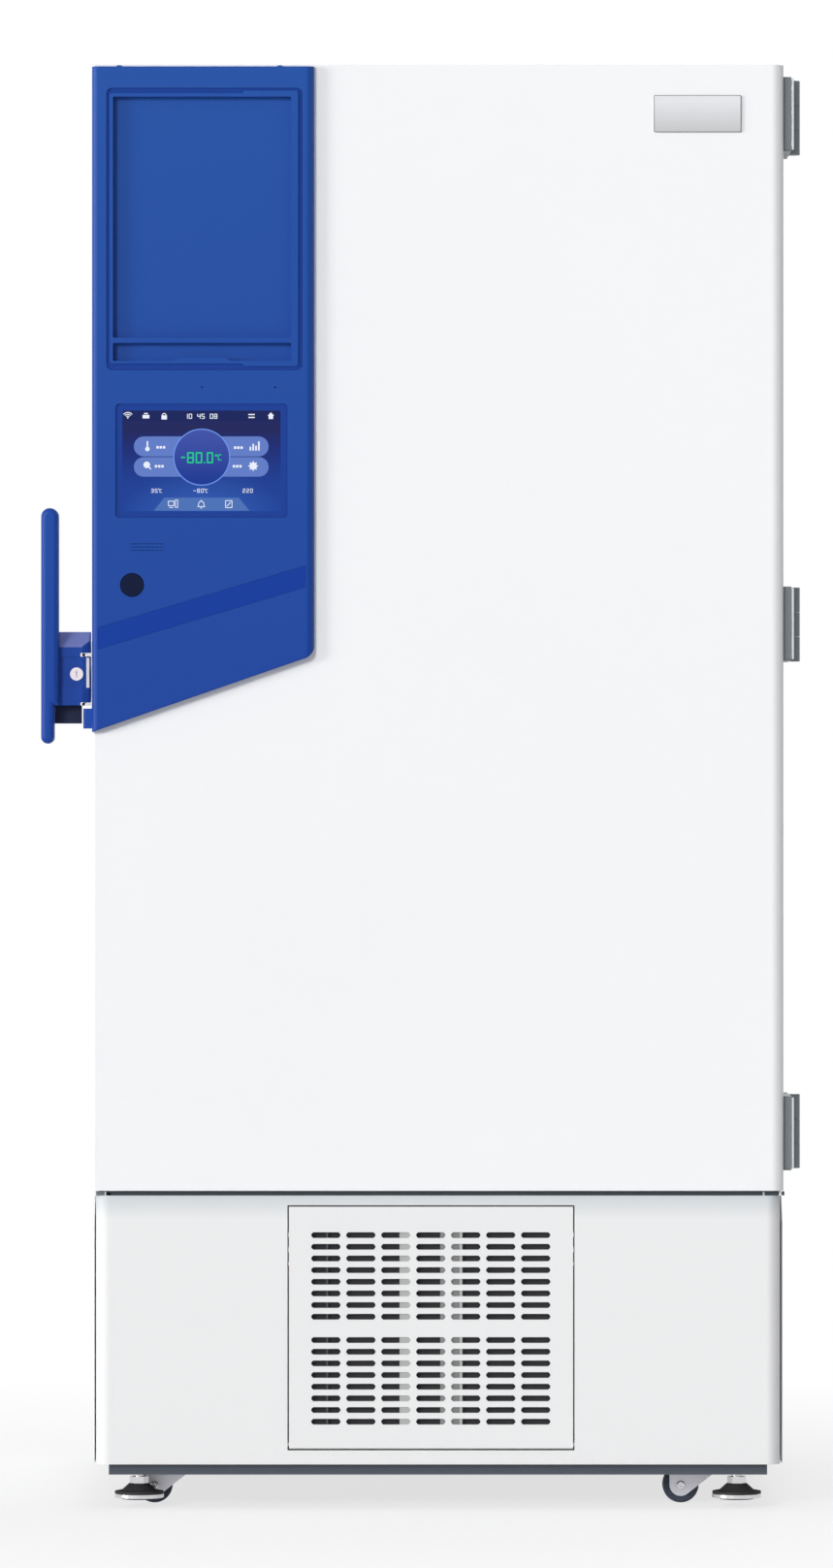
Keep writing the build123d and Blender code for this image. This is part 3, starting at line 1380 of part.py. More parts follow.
def build():
    """Make every piece and write it to its own file."""
    pieces = {
        "outer_shell": outer_shell(),
        "rear_panel": rear_panel(),
        "access_port_sleeve": access_port_sleeve(),
        "wall_spacers": wall_spacers(),
        "insulation": insulation(),
        "inner_liner": inner_liner(),
        "evaporator_coil": evaporator_coil(),
        "breaker_frame": breaker_frame(),
        "inner_seals": inner_seals(),
        "inner_door_lower": inner_door(0),
        "inner_door_upper": inner_door(1),
        "shelves": shelves(),
        "shelf_supports": shelf_supports(),
        "base_frame": base_frame(),
        "lower_front_panel": lower_front_panel(),
        "grille_panel": grille_panel(),
        "air_filter": air_filter(),
        "rear_grille": rear_grille(),
        "power_inlet": power_inlet(),
        "power_switch_rocker": power_switch_rocker(),
        "condenser": condenser(),
        "fan_shroud": fan_shroud(),
        "fan_motor": fan_motor(),
        "fan_blades": fan_blades(),
        "compressors": compressors(),
        "compressor_mounts": compressor_mounts(),
        "oil_separator": oil_separator(),
        "refrigerant_pipes": refrigerant_pipes(),
        "control_box": control_box(),
        "door_skin": door_skin(),
        "door_insulation": door_insulation(),
        "door_liner": door_liner(),
        "door_gasket": door_gasket(),
        "control_fascia": control_fascia(),
        "document_tray": document_tray(),
        "display_bezel": display_bezel(),
        "display_screen": display_screen(),
        "status_strip": status_strip(),
        "card_reader_window": card_reader_window(),
        "nameplate": nameplate(),
        "hinge_door_leaves": hinge_door_leaves(),
        "hinge_body_leaves": hinge_body_leaves(),
        "handle_lever": handle_lever(),
        "lock_plug": lock_plug(),
        "latch_claw": latch_claw(),
        "strike": strike(),
        "handle_bracket": handle_bracket(),
        "handle_base": handle_base(),
    }
    for name, x, y in caster_places:
        pieces["caster_fork_" + name] = caster_fork(x, y)
        pieces["caster_wheel_" + name] = caster_wheel(x, y)
    for name, x, y in foot_places:
        pieces["foot_pad_" + name] = foot_pad(x, y)
        pieces["foot_screw_" + name] = foot_screw(x, y)
    os.makedirs("parts", exist_ok=True)
    for name, shape in pieces.items():
        export_step(shape, "parts/" + name + ".step")


build()
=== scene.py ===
import logging
import math
from dataclasses import dataclass
from enum import Enum
from typing import Callable, ClassVar, Optional, Sequence

import bmesh
import bpy
import numpy as np
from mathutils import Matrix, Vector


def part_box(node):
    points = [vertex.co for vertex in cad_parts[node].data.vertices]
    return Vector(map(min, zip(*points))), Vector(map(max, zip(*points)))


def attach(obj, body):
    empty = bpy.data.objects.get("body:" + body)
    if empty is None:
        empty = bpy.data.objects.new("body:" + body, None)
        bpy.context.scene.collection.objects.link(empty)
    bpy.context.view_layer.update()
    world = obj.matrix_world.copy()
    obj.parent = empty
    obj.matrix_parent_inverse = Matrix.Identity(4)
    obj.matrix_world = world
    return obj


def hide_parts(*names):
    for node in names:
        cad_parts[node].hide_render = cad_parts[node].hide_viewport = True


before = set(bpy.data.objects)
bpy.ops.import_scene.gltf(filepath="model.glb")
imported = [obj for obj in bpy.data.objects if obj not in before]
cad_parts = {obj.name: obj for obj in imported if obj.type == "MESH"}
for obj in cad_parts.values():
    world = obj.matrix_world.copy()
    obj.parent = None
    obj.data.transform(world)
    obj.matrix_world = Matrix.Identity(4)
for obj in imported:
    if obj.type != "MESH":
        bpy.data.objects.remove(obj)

Array = np.ndarray
Colour = tuple[float, float, float]
Socket = bpy.types.NodeSocket
log = logging.getLogger("freezer")
MM = 0.001
NO_LENGTH = 1e-9
LEAST_COSINE = 0.5


class Facing(Enum):
    """How a flat outline stands: the axes of its two directions, then the axis of its depth."""

    FRONT = (0, 2, 1)
    SIDE = (1, 2, 0)
    PLAN = (0, 1, 2)


# Flat outlines, as closed rows of points

def rounded_rectangle(x0: float, x1: float, z0: float, z1: float, radius: float, steps: int = 6) -> Array:
    """A rectangle whose corners are quarter circles.

    Args:
        x0: Lowest first coordinate.
        x1: Highest first coordinate.
        z0: Lowest second coordinate.
        z1: Highest second coordinate.
        radius: Corner radius, at most half of the shorter side.
        steps: Number of spans in each corner.

    Returns:
        Points in order round the outline, each corner's centre plus radius times (cos t, sin t).
    """
    radius = min(radius, (x1 - x0) / 2, (z1 - z0) / 2)
    turn = np.linspace(0, math.pi / 2, steps + 1)
    centres = np.array([(x1 - radius, z1 - radius), (x0 + radius, z1 - radius),
                        (x0 + radius, z0 + radius), (x1 - radius, z0 + radius)])
    angles = turn[None, :] + np.arange(4)[:, None] * math.pi / 2
    points = centres[:, None, :] + radius * np.stack([np.cos(angles), np.sin(angles)], axis=-1)
    return points.reshape(-1, 2)


def circle(x: float, z: float, radius: float, count: int = 48) -> Array:
    """Points evenly spaced round a circle: centre plus radius times (cos t, sin t).

    Args:
        x: First coordinate of the centre.
        z: Second coordinate of the centre.
        radius: Radius of the circle.
        count: Number of points.

    Returns:
        The points, in order.
    """
    angles = np.arange(count) * 2 * math.pi / count
    return np.stack([x + radius * np.cos(angles), z + radius * np.sin(angles)], axis=-1)


def rounded_polygon(corners: Sequence[tuple[float, float]], radii: Sequence[float], steps: int = 6) -> Array:
    """A polygon whose corners are tangent arcs.

    Args:
        corners: The sharp corners, in order.
        radii: The radius at each corner.
        steps: Number of spans in each arc.

    Returns:
        Points along the arcs. Each arc is the quadratic curve from one tangent point to the next,
        with the sharp corner as its control point.
    """
    points = np.array(corners, float)
    before = np.roll(points, 1, axis=0) - points
    after = np.roll(points, -1, axis=0) - points
    before_unit = before / np.linalg.norm(before, axis=1, keepdims=True)
    after_unit = after / np.linalg.norm(after, axis=1, keepdims=True)
    half = np.arccos(np.clip((before_unit * after_unit).sum(axis=1), -1, 1)) / 2
    cut = (np.array(radii) / np.tan(half))[:, None]
    start, end = points + before_unit * cut, points + after_unit * cut
    t = np.linspace(0, 1, steps + 1)[None, :, None]
    arcs = (1 - t) ** 2 * start[:, None] + 2 * t * (1 - t) * points[:, None] + t ** 2 * end[:, None]
    return arcs.reshape(-1, 2)


def drawn_in(outline: Array, inset: float) -> Array:
    """An outline moved inwards by the same distance all round.

    Args:
        outline: Closed outline.
        inset: Distance inwards; a negative one grows the outline.

    Returns:
        Each point moved along the mean of its two edges' normals, over the cosine of half its turn.
    """
    before = outline - np.roll(outline, 1, axis=0)
    after = np.roll(outline, -1, axis=0) - outline
    normals = []
    for edge in (before, after):
        length = np.maximum(np.linalg.norm(edge, axis=1, keepdims=True), NO_LENGTH)
        normals.append(np.stack([edge[:, 1], -edge[:, 0]], axis=1) / length)
    mean = normals[0] + normals[1]
    mean /= np.maximum(np.linalg.norm(mean, axis=1, keepdims=True), NO_LENGTH)
    stretch = 1 / np.maximum((mean * normals[0]).sum(axis=1, keepdims=True), LEAST_COSINE)
    area = np.sum(outline[:, 0] * np.roll(outline[:, 1], -1) - np.roll(outline[:, 0], -1) * outline[:, 1])
    return outline - math.copysign(inset, inset * area) * mean * stretch


# Meshes from grids of points

def placed(outline: Array, depth: float, facing: Facing) -> Array:
    """Flat points stood up in space at one depth."""
    first, second, deep = facing.value
    points = np.empty((len(outline), 3))
    points[:, first], points[:, second], points[:, deep] = outline[:, 0], outline[:, 1], depth
    return points


def grid_faces(rows: int, columns: int, wrap_rows: bool, wrap_columns: bool) -> Array:
    """The four-sided faces of a grid of points kept row by row.

    Args:
        rows: Number of rows.
        columns: Number of points in a row.
        wrap_rows: Whether the last row joins the first.
        wrap_columns: Whether the last column joins the first.

    Returns:
        One row of four point numbers for each face.
    """
    row = np.arange(rows if wrap_rows else rows - 1)[:, None]
    column = np.arange(columns if wrap_columns else columns - 1)[None, :]
    below, beside = (row + 1) % rows, (column + 1) % columns
    corners = [row * columns + column, row * columns + beside,
               below * columns + beside, below * columns + column]
    return np.stack([np.broadcast_to(c, (row.size, column.size)) for c in corners], axis=-1).reshape(-1, 4)


@dataclass
class Sheet:
    """Points and faces of a piece before it becomes an object, in millimetres."""

    points: Array
    faces: list

    def changed(self, formula: Callable[[Array], Array]) -> "Sheet":
        """The same faces on points that a formula has moved."""
        return Sheet(formula(self.points), self.faces)


def joined(sheets: Sequence[Sheet]) -> Sheet:
    """Several sheets as one, with their faces renumbered.

    Args:
        sheets: The sheets to join.

    Returns:
        One sheet that holds them all.
    """
    starts = np.cumsum([0] + [len(sheet.points) for sheet in sheets])
    faces = [[int(i) + int(start) for i in face]
             for sheet, start in zip(sheets, starts) for face in sheet.faces]
    return Sheet(np.concatenate([sheet.points for sheet in sheets]), faces)


def capped(rows: Sequence[Array]) -> Sheet:
    """A closed solid: rows of points that each close on themselves, with a flat cap at each end."""
    count, total = len(rows[0]), len(rows) * len(rows[0])
    faces = grid_faces(len(rows), count, False, True).tolist()
    faces += [list(range(count)), list(range(total - 1, total - 1 - count, -1))]
    return Sheet(np.concatenate(rows), faces)


def moulding(outline: Array, profile: Sequence[tuple[float, float]], facing: Facing) -> Sheet:
    """A closed solid: an outline carried through its depth and drawn in as it goes.

    Args:
        outline: Closed outline at no inset.
        profile: Pairs of inset and depth, from one end to the other.
        facing: How the outline stands.

    Returns:
        A sheet with one row of points for each pair and a flat cap at each end.
    """
    return capped([placed(drawn_in(outline, inset), depth, facing) for inset, depth in profile])


def rim(outline: Array, section: Sequence[tuple[float, float]], facing: Facing) -> Sheet:
    """A closed ring: a closed section of insets and depths, carried round an outline.

    Args:
        outline: Closed outline that the section follows.
        section: Corners of the section, as pairs of inset and depth.
        facing: How the outline stands.

    Returns:
        A sheet that closes on itself both ways.
    """
    rows = [placed(drawn_in(outline, inset), depth, facing) for inset, depth in section]
    return Sheet(np.concatenate(rows), grid_faces(len(rows), len(outline), True, True).tolist())


@dataclass
class Workshop:
    """Turns sheets into objects that ride on a body, and logs each one."""

    sharp_angle: float = math.radians(38)
    weld: float = 1e-6

    def piece(self, name: str, sheet: Sheet, body: str, finish: "Finish", slot: str,
              replaces: Sequence[str] = (), smooth: bool = True) -> None:
        """Makes one piece in place.

        Args:
            name: The piece's name.
            sheet: Its points and faces, in millimetres.
            body: The body it rides on.
            finish: Its finish.
            slot: Not used.
            replaces: CAD nodes that it stands for.
            smooth: Whether its gentle edges are shaded smooth.
        """
        mesh = bpy.data.meshes.new(name)
        mesh.from_pydata((sheet.points * MM).tolist(), [], sheet.faces)
        mesh.update()
        working = bmesh.new()
        working.from_mesh(mesh)
        bmesh.ops.remove_doubles(working, verts=working.verts, dist=self.weld)
        bmesh.ops.recalc_face_normals(working, faces=working.faces)
        working.to_mesh(mesh)
        working.free()
        mesh.polygons.foreach_set("use_smooth", [smooth] * len(mesh.polygons))
        if smooth:
            mesh.set_sharp_from_angle(angle=self.sharp_angle)
        mesh.materials.append(finish.material())
        piece = bpy.data.objects.new(name, mesh)
        bpy.context.collection.objects.link(piece)
        if smooth:
            piece.modifiers.new("normals", "WEIGHTED_NORMAL").keep_sharp = True
        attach(piece, body)
        if replaces:
            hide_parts(*replaces)
        log.info("made %s on %s", name, body)


def node_box(name: str) -> tuple[Array, Array]:
    """Lowest and highest corner of a CAD node, in millimetres."""
    low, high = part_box(name)
    return np.array(low) / MM, np.array(high) / MM


def dress(node: str, finish: "Finish") -> None:
    """Gives a CAD node's object a finish.

    Args:
        node: The node's name.
        finish: The finish to put in its slots.
    """
    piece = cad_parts[node]
    if not piece.material_slots:
        piece.data.materials.append(finish.material())
    for slot in piece.material_slots:
        slot.material = finish.material()
    log.info("dressed %s", node)


# Finishes

class Nodes:
    """Short calls for building one material's nodes."""

    def __init__(self, name: str) -> None:
        """Starts an empty material.

        Args:
            name: The material's name.
        """
        self.material = bpy.data.materials.new(name)
        self.material.use_nodes = True
        self.tree = self.material.node_tree
        self.tree.nodes.clear()
        self.output = self.tree.nodes.new("ShaderNodeOutputMaterial")
        self.shader = self.tree.nodes.new("ShaderNodeBsdfPrincipled")
        self.tree.links.new(self.shader.outputs["BSDF"], self.output.inputs["Surface"])
        self.place = self.tree.nodes.new("ShaderNodeTexCoord").outputs["Object"]

    def add(self, kind: str, **settings: object) -> bpy.types.Node:
        """Adds a node and sets its properties.

        Args:
            kind: The node's type.
            settings: Properties to set on it.

        Returns:
            The node.
        """
        node = self.tree.nodes.new(kind)
        for key, value in settings.items():
            setattr(node, key, value)
        return node

    def link(self, source: Socket, target: Socket) -> None:
        """Joins two sockets."""
        self.tree.links.new(source, target)

    def stretched(self, scale: Sequence[float]) -> Socket:
        """Object coordinates multiplied by a scale for each axis."""
        node = self.add("ShaderNodeVectorMath", operation="MULTIPLY")
        self.link(self.place, node.inputs[0])
        node.inputs[1].default_value = scale
        return node.outputs[0]

    def noise(self, scale: float, detail: float = 2.0, vector: Optional[Socket] = None) -> Socket:
        """A noise value over the surface.

        Args:
            scale: Waves in a metre.
            detail: Octaves.
            vector: Coordinates, or the object's own.

        Returns:
            The noise's value socket.
        """
        node = self.add("ShaderNodeTexNoise")
        node.inputs["Scale"].default_value = scale
        node.inputs["Detail"].default_value = detail
        self.link(vector or self.place, node.inputs["Vector"])
        return node.outputs["Fac"]

    def cells(self, scale: float) -> bpy.types.Node:
        """A cell pattern over the surface."""
        node = self.add("ShaderNodeTexVoronoi")
        node.inputs["Scale"].default_value = scale
        self.link(self.place, node.inputs["Vector"])
        return node

    def ranged(self, value: Socket, low: float, high: float,
               start: float = 0.0, end: float = 1.0) -> Socket:
        """A value mapped from one range to another.

        Args:
            value: The value to map.
            low: Result at the start of the range.
            high: Result at its end.
            start: Lowest input.
            end: Highest input.

        Returns:
            The mapped value.
        """
        node = self.add("ShaderNodeMapRange")
        self.link(value, node.inputs["Value"])
        node.inputs["From Min"].default_value, node.inputs["From Max"].default_value = start, end
        node.inputs["To Min"].default_value, node.inputs["To Max"].default_value = low, high
        return node.outputs["Result"]

    def along(self, axis: str, start: float, end: float, high: float = 1.0) -> Socket:
        """How far a point lies between two places on one of the object's axes.

        Args:
            axis: The axis.
            start: Place where the result is 0, in metres.
            end: Place where it is highest, in metres.
            high: The highest result.

        Returns:
            The result's socket.
        """
        axes = self.add("ShaderNodeSeparateXYZ")
        self.link(self.place, axes.inputs[0])
        return self.ranged(axes.outputs[axis], 0.0, high, start, end)

    def blend(self, factor: Socket, first: Colour, second: Colour) -> Socket:
        """A colour between two, by a factor."""
        node = self.add("ShaderNodeMix", data_type="RGBA")
        self.link(factor, node.inputs[0])
        node.inputs[6].default_value = (*first, 1)
        node.inputs[7].default_value = (*second, 1)
        return node.outputs[2]

    def ramp(self, factor: Socket, stops: Sequence[tuple[float, Colour]]) -> Socket:
        """A colour that runs through stops.

        Args:
            factor: Where on the ramp to read.
            stops: Pairs of place and colour, in order.

        Returns:
            The colour's socket.
        """
        node = self.add("ShaderNodeValToRGB")
        self.link(factor, node.inputs[0])
        elements = node.color_ramp.elements
        while len(elements) < len(stops):
            elements.new(1.0)
        for element, (position, colour) in zip(elements, stops):
            element.position, element.color = position, (*colour, 1)
        return node.outputs[0]

    def bump(self, height: Socket, strength: float, distance: float) -> None:
        """Raises the shader's normal by a height.

        Args:
            height: The height's socket.
            strength: How strong the bump is.
            distance: Height of a full step, in metres.
        """
        node = self.add("ShaderNodeBump")
        node.inputs["Strength"].default_value = strength
        node.inputs["Distance"].default_value = distance
        self.link(height, node.inputs["Height"])
        self.link(node.outputs["Normal"], self.shader.inputs["Normal"])

    def set(self, **values: object) -> None:
        """Sets constants on the shader's own sockets, by their names with underscores."""
        for key, value in values.items():
            self.shader.inputs[key.replace("_", " ")].default_value = value


@dataclass(frozen=True)
class Finish:
    """A surface finish: makes its material once and hands it out after that.

    TONES holds the shares of the colour where a noise is 0 and 1, GLOSS what is added to the roughness there.
    """

    name: str
    colour: Colour
    roughness: float = 0.4
    TONES: ClassVar[tuple[float, float]] = (1.0, 1.0)
    GLOSS: ClassVar[tuple[float, float]] = (0.0, 0.0)

    def material(self) -> bpy.types.Material:
        """The finish's material, made on first use."""
        found = bpy.data.materials.get(self.name)
        if found:
            return found
        nodes = Nodes(self.name)
        self.mix(nodes)
        return nodes.material

    def shade(self, by: float) -> Colour:
        """The finish's colour, darker or lighter by a factor."""
        return tuple(min(1.0, c * by) for c in self.colour)

    def vary(self, nodes: Nodes, tone: Socket, gloss: Optional[Socket] = None) -> None:
        """Lets a pattern vary colour and roughness.

        Args:
            nodes: The material's nodes.
            tone: The pattern for the colour.
            gloss: The pattern for the roughness, or none for the same one.
        """
        nodes.link(nodes.blend(tone, *map(self.shade, self.TONES)), nodes.shader.inputs["Base Color"])
        rough = nodes.ranged(gloss or tone, *(self.roughness + more for more in self.GLOSS))
        nodes.link(rough, nodes.shader.inputs["Roughness"])

    def mix(self, nodes: Nodes) -> None:
        """Builds the nodes; each kind of finish has its own."""
        nodes.set(Base_Color=(*self.colour, 1), Roughness=self.roughness)


@dataclass(frozen=True)
class PowderCoat(Finish):
    """Sprayed and baked paint: a faint orange peel and a slow drift of tone."""

    peel: float = 0.16
    drift_scale: float = 1.6
    peel_scale: float = 520.0
    peel_depth: float = 0.00012
    shine: float = 0.2
    TONES = (0.988, 1.01)
    GLOSS = (-0.04, 0.05)

    def mix(self, nodes: Nodes) -> None:
        """Slow noise for tone and gloss, fine noise for the peel."""
        self.vary(nodes, nodes.noise(self.drift_scale, detail=3.0))
        nodes.bump(nodes.noise(self.peel_scale, detail=3.0), self.peel, self.peel_depth)
        nodes.set(Specular_IOR_Level=self.shine)


@dataclass(frozen=True)
class MouldedPlastic(Finish):
    """Injection moulded plastic with a fine spark-eroded grain."""

    grain: float = 0.22
    shine: float = 0.22
    drift_scale: float = 5.0
    grain_scale: float = 2200.0
    grain_depth: float = 0.00006
    TONES = (0.96, 1.04)
    GLOSS = (-0.05, 0.07)

    def mix(self, nodes: Nodes) -> None:
        """Slow noise for tone, fine noise for gloss and grain."""
        fine = nodes.noise(self.grain_scale)
        self.vary(nodes, nodes.noise(self.drift_scale), fine)
        nodes.bump(fine, self.grain, self.grain_depth)
        nodes.set(Specular_IOR_Level=self.shine)


@dataclass(frozen=True)
class HousingPlastic(MouldedPlastic):
    """Moulded plastic whose colour changes from one height to another."""

    high_colour: Colour = (1.0, 1.0, 1.0)
    low_z: float = 1.1
    high_z: float = 1.97

    def mix(self, nodes: Nodes) -> None:
        """The moulded grain, with the colour taken from the height instead."""
        super().mix(nodes)
        height = nodes.along("Z", self.low_z, self.high_z)
        nodes.link(nodes.blend(height, self.colour, self.high_colour), nodes.shader.inputs["Base Color"])


@dataclass(frozen=True)
class HingeShadedPaint(PowderCoat):
    """Grey hinge paint with painted light and shade: the leaf lightens away from the door as a painted
    highlight, and the barrel beyond it is dark as painted shade.
    """

    # Painted shade of the barrel.
    barrel: Colour = (0.09, 0.108, 0.125)
    leaf_start: float = 0.4965
    leaf_end: float = 0.5085
    leaf_shade_tones: tuple[float, float] = (0.72, 1.15)
    leaf_share: float = 0.5
    barrel_share: float = 0.52

    def mix(self, nodes: Nodes) -> None:
        """The paint, with painted shade and highlight set by the distance across the hinge."""
        super().mix(nodes)
        across = nodes.along("X", self.leaf_start, self.leaf_end, self.leaf_share)
        dark, light = map(self.shade, self.leaf_shade_tones)
        stops = ((0.0, dark), (self.leaf_share, light), (self.barrel_share, self.barrel))
        nodes.link(nodes.ramp(across, stops), nodes.shader.inputs["Base Color"])


@dataclass(frozen=True)
class RolledSteel(Finish):
    """Bare or brushed sheet metal with lines along one axis."""

    lines: tuple[float, float, float] = (6.0, 900.0, 900.0)
    line_bump: float = 0.12
    line_depth: float = 0.00005
    TONES = (0.86, 1.08)
    GLOSS = (-0.08, 0.12)

    def mix(self, nodes: Nodes) -> None:
        """Noise stretched along the rolling direction drives tone, gloss and bump."""
        streaks = nodes.noise(1.0, detail=4.0, vector=nodes.stretched(self.lines))
        self.vary(nodes, streaks)
        nodes.bump(streaks, self.line_bump, self.line_depth)
        nodes.set(Metallic=1.0)


@dataclass(frozen=True)
class Galvanised(Finish):
    """Zinc-dipped sheet with flat crystals of differing tone."""

    crystal_scale: float = 70.0
    mark_scale: float = 30.0
    mark_bump: float = 0.1
    mark_depth: float = 0.0003
    metal: float = 0.85
    TONES = (0.82, 1.1)
    GLOSS = (-0.08, 0.12)

    def mix(self, nodes: Nodes) -> None:
        """Cells for the crystals, noise for handling marks."""
        crystal = nodes.add("ShaderNodeSeparateColor")
        nodes.link(nodes.cells(self.crystal_scale).outputs["Color"], crystal.inputs[0])
        self.vary(nodes, crystal.outputs[0], crystal.outputs[1])
        nodes.bump(nodes.noise(self.mark_scale, detail=4.0), self.mark_bump, self.mark_depth)
        nodes.set(Metallic=self.metal)


@dataclass(frozen=True)
class PlatedMetal(Finish):
    """Bright plated steel with faint polishing marks."""

    mark_scale: float = 160.0
    mark_bump: float = 0.06
    mark_depth: float = 0.0001
    TONES = (0.9, 1.05)
    GLOSS = (-0.04, 0.1)

    def mix(self, nodes: Nodes) -> None:
        """Noise on tone and gloss and a very low bump."""
        marks = nodes.noise(self.mark_scale, detail=4.0)
        self.vary(nodes, marks)
        nodes.bump(marks, self.mark_bump, self.mark_depth)
        nodes.set(Metallic=1.0)


@dataclass(frozen=True)
class SoftRubber(Finish):
    """Dull rubber with a dusty, faintly pitted skin."""

    dust_scale: float = 60.0
    pit_scale: float = 900.0
    pit_bump: float = 0.3
    pit_depth: float = 0.0001
    shine: float = 0.3
    TONES = (0.85, 1.2)
    GLOSS = (-0.06, 0.1)

    def mix(self, nodes: Nodes) -> None:
        """Noise for dust and pits."""
        self.vary(nodes, nodes.noise(self.dust_scale, detail=5.0))
        nodes.bump(nodes.noise(self.pit_scale, detail=3.0), self.pit_bump, self.pit_depth)
        nodes.set(Specular_IOR_Level=self.shine)


@dataclass(frozen=True)
class Glow(Finish):
    """A lit mark on the screen."""

    roughness: float = 0.3
    strength: float = 1.0
    grid_scale: float = 4000.0
    unlit_share: float = 0.1
    shine: float = 0.05
    TONES = (0.94, 1.0)

    def mix(self, nodes: Nodes) -> None:
        """Even light with a trace of the pixel grid."""
        grid = nodes.noise(self.grid_scale, detail=1.0)
        nodes.link(nodes.blend(grid, *map(self.shade, self.TONES)), nodes.shader.inputs["Emission Color"])
        nodes.set(Base_Color=(*self.shade(self.unlit_share), 1), Emission_Strength=self.strength,
                  Roughness=self.roughness, Specular_IOR_Level=self.shine)


@dataclass(frozen=True)
class GradedGlow(Glow):
    """A lit mark whose colour changes with height."""

    low_z: float = 1.36
    high_z: float = 1.51
    high_colour: Colour = (1.0, 1.0, 1.0)

    def mix(self, nodes: Nodes) -> None:
        """The lit mark, with its colour taken from the height."""
        super().mix(nodes)
        height = nodes.along("Z", self.low_z, self.high_z)
        nodes.link(nodes.blend(height, self.colour, self.high_colour), nodes.shader.inputs["Emission Color"])


@dataclass(frozen=True)
class ScreenLight(Finish):
    """The lit screen: navy above, royal blue below, with a soft light low in the middle."""

    top: float = 1.509
    bottom: float = 1.365
    middle: float = -0.3
    glow: Colour = (0.02, 0.06, 0.16)
    glow_reach: tuple[float, float, float] = (9.0, 0.0, 16.0)
    shine: float = 0.07
    stops: tuple[tuple[float, Colour], ...] = (
        (0.0, (0.01, 0.05, 0.3)), (0.3, (0.009, 0.042, 0.27)), (0.62, (0.008, 0.02, 0.16)),
        (0.8, (0.012, 0.014, 0.085)), (0.9, (0.012, 0.016, 0.1)), (1.0, (0.02, 0.03, 0.14)))

    def mix(self, nodes: Nodes) -> None:
        """Height sets the base tone; the distance from a low centre adds a glow that fades evenly."""
        tone = nodes.ramp(nodes.along("Z", self.bottom, self.top), self.stops)
        offset = nodes.add("ShaderNodeVectorMath", operation="SUBTRACT")
        nodes.link(nodes.place, offset.inputs[0])
        offset.inputs[1].default_value = (self.middle, 0, self.bottom)
        flat = nodes.add("ShaderNodeVectorMath", operation="MULTIPLY")
        nodes.link(offset.outputs[0], flat.inputs[0])
        flat.inputs[1].default_value = self.glow_reach
        length = nodes.add("ShaderNodeVectorMath", operation="LENGTH")
        nodes.link(flat.outputs[0], length.inputs[0])
        glow = nodes.blend(nodes.ranged(length.outputs["Value"], 1.0, 0.0), (0, 0, 0), self.glow)
        total = nodes.add("ShaderNodeMix", data_type="RGBA", blend_type="ADD")
        total.inputs[0].default_value = 1.0
        nodes.link(tone, total.inputs[6])
        nodes.link(glow, total.inputs[7])
        nodes.link(total.outputs[2], nodes.shader.inputs["Emission Color"])
        nodes.set(Base_Color=(*self.colour, 1), Emission_Strength=1.0, Roughness=self.roughness,
                  Specular_IOR_Level=self.shine)


WHITE = PowderCoat("door_white", (0.868, 0.875, 0.888), 0.38)
PANEL = PowderCoat("panel_grey_white", (0.8, 0.8, 0.802), 0.42)
# Lighter towards the top: painted light on the blue housing.
BLUE = HousingPlastic("fascia_blue", (0.0035, 0.048, 0.305), 0.42, high_colour=(0.0075, 0.07, 0.335))
# A darker, less glossy blue: on the tray's groove ring it is painted shade; also used on the display bezel.
BLUE_DEEP = MouldedPlastic("groove_shade_and_bezel_blue", (0.008, 0.045, 0.28), 0.45, 0.22, 0.12)
BAND = MouldedPlastic("band_blue", (0.002, 0.0395, 0.307), 0.36, 0.3, 0.15)
BLACK = MouldedPlastic("black_plastic", (0.018, 0.02, 0.024), 0.4)
READER = MouldedPlastic("reader_black", (0.003, 0.008, 0.035), 0.2, 0.02, 0.1)
WARM_WHITE = MouldedPlastic("liner_plastic", (0.78, 0.79, 0.8), 0.45)
STAINLESS = RolledSteel("stainless", (0.62, 0.63, 0.64), 0.3)
GALVANISED = Galvanised("galvanised_sheet", (0.52, 0.54, 0.56), 0.42)
ALUMINIUM = RolledSteel("aluminium_fins", (0.72, 0.73, 0.75), 0.35, (300.0, 300.0, 40.0))
PLATED = PlatedMetal("plated_steel", (0.68, 0.68, 0.7), 0.2)
COPPER = PlatedMetal("copper_tube", (0.72, 0.36, 0.22), 0.28)
PLINTH = HousingPlastic("plinth_slate", (0.095, 0.108, 0.13), 0.5, high_colour=(0.035, 0.043, 0.056),
                        low_z=0.042, high_z=0.062)
MACHINE = PowderCoat("compressor_black", (0.02, 0.021, 0.023), 0.45, 0.3)
HINGE_LIGHT = HingeShadedPaint("hinge_light", (0.2, 0.22, 0.235), 0.4)
HINGE_DARK = HingeShadedPaint("hinge_dark", (0.2, 0.22, 0.235), 0.42)
BLOCK_GREY = PowderCoat("block_grey", (0.2, 0.22, 0.235), 0.5)
FORK = PlatedMetal("fork_zinc", (0.56, 0.56, 0.6), 0.35)
WHEEL = MouldedPlastic("wheel_nylon", (0.05, 0.065, 0.095), 0.45, 0.3)
SEAL = SoftRubber("seal_grey", (0.42, 0.44, 0.47), 0.6)
RUBBER = SoftRubber("rubber_black", (0.02, 0.02, 0.021), 0.65)
FOAM = SoftRubber("foam_cream", (0.7, 0.62, 0.4), 0.85)
# The plate is lighter at the top and darker at the bottom: painted light and shade.
BADGE = HousingPlastic("badge_satin", (0.53, 0.54, 0.545), 0.35, high_colour=(0.75, 0.75, 0.778),
                       low_z=1.888, high_z=1.93)
